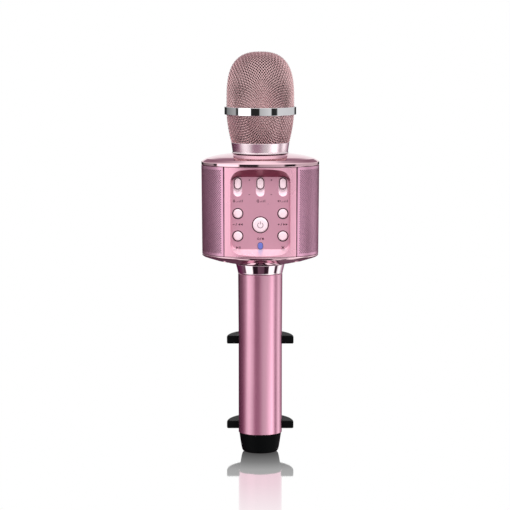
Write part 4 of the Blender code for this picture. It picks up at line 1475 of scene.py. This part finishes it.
@dataclass
class PhoneClamp:
    """Fixed lower jaw with its channel, and the sprung upper jaw."""

    half_width: float = 0.0227
    front: float = 0.0075
    back: float = 0.0380
    notch: float = 0.01525
    lip: float = 0.0020
    lip_front: float = 0.0320

    def outline(self, inset: float = 0.0, front: float = 0.0075, steps: int = 72) -> list[Point]:
        """Half oval behind the handle, notched round the tube if it reaches that far.

        Args:
            inset: How far it lies inside the jaw's edge.
            front: Where it starts along Y.
            steps: Number of flats along the oval.

        Returns:
            Points, each with its x and y.
        """
        half, depth = self.half_width - inset, self.back - self.front - inset
        start = math.asin((front - self.front) / depth)
        points = [(half * math.cos(a), self.front + depth * math.sin(a))
                  for a in (start + (math.pi - 2 * start) * i / steps for i in range(steps + 1))]
        if front < self.notch:
            edge = math.asin(front / self.notch)
            points += [(self.notch * math.cos(a), self.notch * math.sin(a))
                       for a in (math.pi - edge - (math.pi - 2 * edge) * i / 32 for i in range(33))]
        return points

    def plate(self, low: float, high: float) -> bmesh.types.BMesh:
        """Jaw plate with rounded edges."""
        flat = slab([Vector((x, y, low)) for x, y in self.outline()], Vector((0, 0, high - low)))
        return carved_shape(flat, edge=0.0009, segments=4, angle=35)

    def rim(self, low: float, high: float) -> bmesh.types.BMesh:
        """Raised lip along a jaw's outer edge.

        Args:
            low: Height of its lower face.
            high: Height of its upper face.

        Returns:
            A closed bmesh.
        """
        margin, gap, wall, front = 0.001, 0.0004, 0.0020, self.lip_front
        band = slab([Vector((x, y, low)) for x, y in self.outline(gap, front)], Vector((0, 0, high - low)))
        hollow = slab([Vector((x, y, low - margin)) for x, y in self.outline(gap + wall, front - wall)],
                      Vector((0, 0, high - low + 2 * margin)))
        return carved_shape(band, edge=0.0004, segments=3, angle=35, cuts=[hollow])

    def base(self) -> None:
        """Lower jaw and the channel up the back of the handle."""
        low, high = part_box("clamp_base")
        top = 0.0193
        spine = block(Vector((-0.0104, 0.0115, low.z + 0.002)), Vector((0.0104, 0.0244, high.z)))
        spine = carved_shape(spine, edge=0.0011, segments=4)
        seat = bar(Vector((0, 0, 0)), Vector((0, 0, 0.09)), 0.01505, 128)
        channel = block(Vector((-0.0086, 0.0174, 0.0274)), Vector((0.0086, 0.0226, 0.09)))
        cuts = [seat, channel]
        for i in (1, 2):
            x, _, z = centre(f"clamp_screw_{i}")
            cuts.append(bar(Vector((x, 0.010, z)), Vector((x, 0.026, z)), 0.0014, 24))
            cuts.append(bar(Vector((x, 0.0219, z)), Vector((x, 0.026, z)), 0.0026, 40))
        item = carved("clamp_base_black", self.plate(low.z, top),
                      lumps=[spine, self.rim(top - 0.001, top + self.lip)], cuts=cuts)
        dress(item, BLACK_SATIN, stands_for=["clamp_base"], sharp=35)

    def jaw(self) -> None:
        """Sliding jaw with its two legs."""
        foot, high = (corner.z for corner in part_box("upper_jaw"))
        low = 0.0724
        legs = [block(Vector((left, 0.0178, foot)), Vector((right, 0.0222, low + 0.002)))
                for left, right in ((-0.0082, -0.0044), (0.0044, 0.0082))]
        item = carved("upper_jaw_black", self.plate(low, high),
                      lumps=[self.rim(low - self.lip, low + 0.001), *legs])
        dress(item, BLACK_SATIN, JAW, ["upper_jaw"], sharp=35)

    def pads(self) -> None:
        """Ribbed soft pads."""
        count, half, proud, root = 8, 0.0006, Vector((0, 0, 0.0004)), 0.0006
        for node, body, up in (("jaw_pad_lower", ROOT, True), ("jaw_pad_upper", JAW, False)):
            low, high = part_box(node)
            base = block(low, high - proud) if up else block(low + proud, high)
            bottom, top = (high.z - root, high.z) if up else (low.z, low.z + root)
            ribs = []
            for i in range(count):
                x = low.x + (i + 0.5) * (high.x - low.x) / count
                ribs.append(block(Vector((x - half, low.y + 0.0004, bottom)),
                                  Vector((x + half, high.y - 0.0004, top))))
            item = carved(f"{node}_ribbed", base, lumps=ribs, edge=0.00015, segments=2)
            dress(item, BLACK_RUBBER, body, [node], 40)

    def spring(self) -> None:
        """Coiled return spring of the clamp."""
        low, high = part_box("clamp_spring")
        turns, per_turn, wire = 20, 16, 0.00032
        count = turns * per_turn
        radius = (high.x - low.x) / 2 - wire
        middle = (low.y + high.y) / 2
        coil = []
        for i in range(count + 1):
            angle = TURN * i / per_turn
            height = low.z + wire + (high.z - low.z - 2 * wire) * i / count
            coil.append(Vector((radius * math.cos(angle), middle + radius * 0.85 * math.sin(angle), height)))
        item = as_object("return_spring", tubes([coil], wire, 2))
        dress(item, BRIGHT_STEEL, ROOT, ["clamp_spring"], 60)
        item.parent = None
        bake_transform(item)

    def build(self) -> None:
        """Build the clamp."""
        self.base()
        self.jaw()
        self.pads()
        self.spring()


# ------------------------------------------------------------------------ screws and sockets

@dataclass
class SmallMetal:
    """Screws with cross recesses, and the sockets on the back."""

    head: float = 0.0022
    shank: float = 0.0010

    def screw(self, node: str, turn: Matrix) -> None:
        """One pan-head screw with a cross recess.

        Args:
            node: The CAD node that it stands for.
            turn: Turn from a screw that points up to this one.
        """
        low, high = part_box(node)
        middle = (low + high) / 2
        length = max(high - low) - 0.0013
        profile = [(0, length), (self.shank * 0.6, length), (self.shank, length - 0.0008), (self.shank, 0),
                   (self.head, 0), (self.head, -0.0007), (self.head * 0.75, -0.0012), (0, -0.0013)]
        arms = [block(Vector((-a, -b, -0.0016)), Vector((a, b, -0.0006)))
                for a, b in ((0.0013, 0.00025), (0.00025, 0.0013))]
        item = carved(f"{node}_cross", spun(soften(profile, 0.0002, 3), 40), cuts=arms)
        shift = Vector((0, 0, (length - 0.0013) / 2))
        item.data.transform(Matrix.Translation(middle) @ turn.to_4x4() @ Matrix.Translation(-shift))
        dress(item, BRIGHT_STEEL, ROOT, [node], 35)

    def sockets(self) -> None:
        """Contact tongue of the charging socket and the rim of the audio socket."""
        low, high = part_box("charge_socket")
        x, _, z = centre("charge_socket")
        half_width, half_height = 0.0022, 0.00035
        shape = block(Vector((x - half_width, low.y + 0.0012, z - half_height)),
                      Vector((x + half_width, high.y - 0.0008, z + half_height)))
        dress(carved("charge_tongue", shape, edge=0.0001, segments=2), BLACK_SATIN)
        x, _, z = centre("audio_socket")
        outer, inner, depth = 0.0029, 0.0019, -0.0008
        bm = spun(soften([(outer, 0.0), (inner, 0.0), (inner, depth), (outer, depth)], 0.0002, 3), 64)
        spot = (x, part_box("audio_socket")[1].y + 0.0003, z)
        bm.transform(Matrix.Translation(spot) @ Matrix.Rotation(-math.pi / 2, 4, "X"))
        dress(as_object("audio_rim", bm), BRIGHT_STEEL)

    def socket_marks(self) -> None:
        """Bolt and headphone pictures over the sockets."""
        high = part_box("rear_panel")[1]
        pen = Pen(-high.y - 0.00002)
        z = 0.1508
        pen.patch([(0.0074, z + 0.0014), (0.0060, z - 0.0002), (0.0069, z - 0.0002), (0.0064, z - 0.0014),
                   (0.0080, z + 0.0003), (0.0071, z + 0.0003)])
        pen.arc((-0.0070, z - 0.0002), 0.0011, 0, 180, 0.0003, 16)
        for x in (-0.0081, -0.0059):
            pen.patch([(x - 0.0003, z - 0.0010), (x + 0.0003, z - 0.0010), (x + 0.0003, z - 0.0001),
                       (x - 0.0003, z - 0.0001)])
        whole = merged(pen.strokes)
        whole.transform(Matrix.Rotation(math.pi, 4, "Z"))
        half = 0.0392
        depth = half * SpeakerBody.ratio
        for vert in whole.verts:
            vert.co.y += depth * math.sqrt(1 - (vert.co.x / half) ** 2) - high.y
        dress(as_object("socket_marks", whole), PLUM_PRINT, sharp=20)

    def build(self) -> None:
        """Build every screw and socket."""
        for i in range(1, 5):
            self.screw(f"body_screw_{i}", Matrix.Identity(3))
        for i in (1, 2):
            self.screw(f"clamp_screw_{i}", Matrix.Rotation(math.pi / 2, 3, "X"))
        self.sockets()
        self.socket_marks()


# ------------------------------------------------------------------------ studio

@dataclass(frozen=True)
class Band:
    """What the world shows over a range of heights, all the way round.

    It takes over from the band below it between its start and its end, which are heights of
    a direction one metre long. Each stop is an angle in degrees, 0 out of the control pocket
    and 90 towards +X, with the brightness there. The tint is how rosy its dark parts are.
    """

    start: float
    end: float
    tint: float
    stops: tuple[Point, ...]


BANDS: tuple[Band, ...] = (
    Band(-1.0, -0.9, 0.6, (
        (-180, 0.12), (-120, 0.1), (-84, 0.12), (-79, 1.2), (-43, 1.2), (-39, 0.02), (-15, 0.02),
        (-11, 0.13), (20, 0.11), (24, 0.02), (44, 0.04), (48, 1.2), (76, 1.2), (82, 0.05), (96, 0.05),
        (99, 1.0), (118, 1.0), (124, 0.05), (150, 0.06), (168, 0.22), (180, 0.12),)),
    Band(-0.46, -0.34, 0.95, (
        (-180, 0.1), (-140, 0.07), (-108, 0.14), (-92, 0.4), (-78, 0.95), (-60, 1.05), (-46, 0.72),
        (-33, 0.42), (-12, 0.42), (0, 0.48), (14, 0.7), (32, 0.85), (42, 1.3), (66, 1.9), (76, 1.2),
        (88, 0.22), (98, 0.7), (112, 1.4), (124, 0.9), (140, 0.4), (180, 0.1),)),
    Band(-0.124, -0.112, 0.0, (
        (-180, 1.0), (-172, 1.0), (-166, 0.02), (-140, 0.03), (-132, 0.2), (-92, 0.36), (-86, 0.34),
        (-84, 0.05), (-76, 0.04), (-73, 1.5), (-32, 1.5), (-30, 0.02), (-4, 0.02), (-1, 0.46),
        (34, 0.66), (37, 0.02), (54, 0.03), (58, 0.66), (138, 0.6), (146, 0.02), (166, 0.02),
        (172, 1.0), (180, 1.0),)),
    Band(0.06, 0.12, 0.0, (
        (-180, 1.0), (180, 1.0),)),
    Band(0.26, 0.32, 0.6, (
        (-180, 1.0), (-172.5, 0.95), (-169, 0.34), (-150, 0.28), (-90, 0.6), (-60, 1.1), (-20, 1.2),
        (20, 1.2), (60, 1.1), (90, 0.6), (150, 0.28), (168, 0.34), (171.5, 0.95), (180, 1.0),)),
)


@dataclass
class Studio:
    """Camera, soft light from all round, an overhead lamp and the glossy table."""

    lens: float = 174.35
    sensor: float = 36.0
    distance: float = 1.655
    height: float = 0.3226
    tilt: float = 6.5
    shift: float = -0.00356
    full_colour: float = 0.7
    table_radius: float = 0.30
    table_drop: float = 0.00005
    table_gloss: float = 0.04
    fade: tuple[Point, ...] = (
        (0.0, 0.97), (0.040, 0.80), (0.065, 0.63), (0.110, 0.56), (0.182, 0.32), (0.240, 0.0))
    lamp_spot: tuple[float, float, float] = (0.05, -0.45, 0.75)
    lamp_aim: tuple[float, float, float] = (0.0, 0.0, 0.17)
    lamp_size: float = 0.35
    lamp_power: float = 5.0

    def camera(self) -> None:
        """Camera in front of the microphone, looking slightly down."""
        data = bpy.data.cameras.new("camera")
        data.lens = self.lens
        data.sensor_width = self.sensor
        camera = bpy.data.objects.new("camera", data)
        camera.location = (self.shift, -self.distance, self.height)
        camera.rotation_euler = (math.radians(90 - self.tilt), 0, 0)
        bpy.context.scene.collection.objects.link(camera)
        bpy.context.scene.camera = camera

    def ramp(self, tree: bpy.types.NodeTree, place: bpy.types.NodeSocket, stops: Sequence[Point],
             reach: Point, tint: float = 0.0) -> bpy.types.NodeSocket:
        """Colour ramp from a list of places and brightnesses.

        Args:
            tree: Node tree that gets the ramp.
            place: Socket with the place, from 0 at the ramp's start to 1 at its end.
            stops: Place and brightness of each stop.
            reach: Places of the ramp's start and end.
            tint: How rosy its dark parts are, from 0 to 1.

        Returns:
            Socket with the colour.
        """
        made = add_node(tree, "ValToRGB", {"Fac": place})
        elements = made.color_ramp.elements
        low, high = reach
        for i, (spot, value) in enumerate(stops):
            position = (spot - low) / (high - low)
            element = elements[i] if i < 2 else elements.new(position)
            element.position = position
            blush = 1 - tint * max(0.0, 1 - value / self.full_colour)
            element.color = (value, value * blush, value * (1 + blush) / 2, 1)
        return made.outputs["Color"]

    def world(self) -> None:
        """Soft light from all round, with bright panels and dark gaps between them."""
        world = bpy.data.worlds.new("studio")
        bpy.context.scene.world = world
        world.use_nodes = True
        tree = world.node_tree
        direction = add_node(tree, "TexCoord").outputs["Generated"]
        axes = add_node(tree, "SeparateXYZ", {"Vector": direction}).outputs
        front = add_node(tree, "Math", {0: axes["Y"], 1: -1.0}, operation="MULTIPLY").outputs["Value"]
        turn = add_node(tree, "Math", {0: axes["X"], 1: front}, operation="ARCTAN2").outputs["Value"]
        around = ranged(tree, turn, {"From Min": -math.pi, "From Max": math.pi})
        colours = [self.ramp(tree, around, band.stops, (-180, 180), band.tint) for band in BANDS]
        colour = colours[0]
        for band, above in zip(BANDS[1:], colours[1:]):
            share = ranged(tree, axes["Z"], {"From Min": band.start, "From Max": band.end}, "SMOOTHSTEP")
            colour = mixed(tree, share, colour, above)
        seen = add_node(tree, "LightPath").outputs["Is Camera Ray"]
        fill(tree, tree.nodes["Background"], {"Color": mixed(tree, seen, colour, WHITE)})

    def table(self) -> None:
        """White glossy table top whose mirror image fades with distance."""
        bm = bmesh.new()
        bmesh.ops.create_circle(bm, cap_ends=True, radius=self.table_radius, segments=96)
        bmesh.ops.translate(bm, vec=(0, 0, -self.table_drop), verts=bm.verts)
        item = as_object("table", bm)
        material = bpy.data.materials.new("white_table")
        material.use_nodes = True
        tree = material.node_tree
        tree.nodes.remove(tree.nodes["Principled BSDF"])
        place = add_node(tree, "TexCoord").outputs["Object"]
        away = add_node(tree, "VectorMath", {0: place}, operation="LENGTH").outputs["Value"]
        limit = self.fade[-1][0]
        part = ranged(tree, away, {"From Max": limit})
        fade = self.ramp(tree, part, self.fade, (0.0, limit))
        glow = add_node(tree, "Emission").outputs["Emission"]
        gloss = {"Roughness": self.table_gloss, "Color": WHITE}
        mirror = add_node(tree, "BsdfGlossy", gloss).outputs["BSDF"]
        mix = add_node(tree, "MixShader", {"Fac": fade, 1: glow, 2: mirror}).outputs["Shader"]
        fill(tree, tree.nodes["Material Output"], {"Surface": mix})
        item.data.materials.append(material)
        item.visible_glossy = False
        item.visible_diffuse = False

    def lamp(self) -> None:
        """Soft square lamp overhead that leaves no highlight of its own."""
        data = bpy.data.lights.new("overhead", "AREA")
        data.size = self.lamp_size
        data.energy = self.lamp_power
        data.specular_factor = 0.0
        lamp = bpy.data.objects.new("overhead", data)
        lamp.location = self.lamp_spot
        aim = Vector(self.lamp_aim) - Vector(self.lamp_spot)
        lamp.rotation_euler = aim.to_track_quat("-Z", "Y").to_euler()
        lamp.visible_glossy = False
        bpy.context.scene.collection.objects.link(lamp)

    def build(self) -> None:
        """Set up the whole studio."""
        self.camera()
        self.world()
        self.table()
        self.lamp()
        scene = bpy.context.scene
        scene.view_settings.view_transform = "Standard"
        scene.view_settings.look = "None"


# ------------------------------------------------------------------------ assembly

def dress_carried_nodes() -> None:
    """Give every CAD node the finish of its material slot."""
    slots = {part["node"]: part["material_slot"] for part in frame["record"]["subparts"]}
    for node, item in frame["nodes"].items():
        finish = SLOT_FINISHES[slots[node]]
        if item.data.materials:
            for i in range(len(item.data.materials)):
                item.data.materials[i] = finish.material()
        else:
            item.data.materials.append(finish.material())


def main() -> None:
    """Build the studio and every sub-assembly, in order."""
    logging.basicConfig(level=logging.INFO, format="%(name)s: %(message)s")
    Studio().build()
    dress_carried_nodes()
    for assembly in (Head(), SpeakerBody(), Controls(), Handle(), PhoneClamp(), SmallMetal()):
        log.info("building %s", type(assembly).__name__)
        assembly.build()


if __name__ == "__main__":
    main()
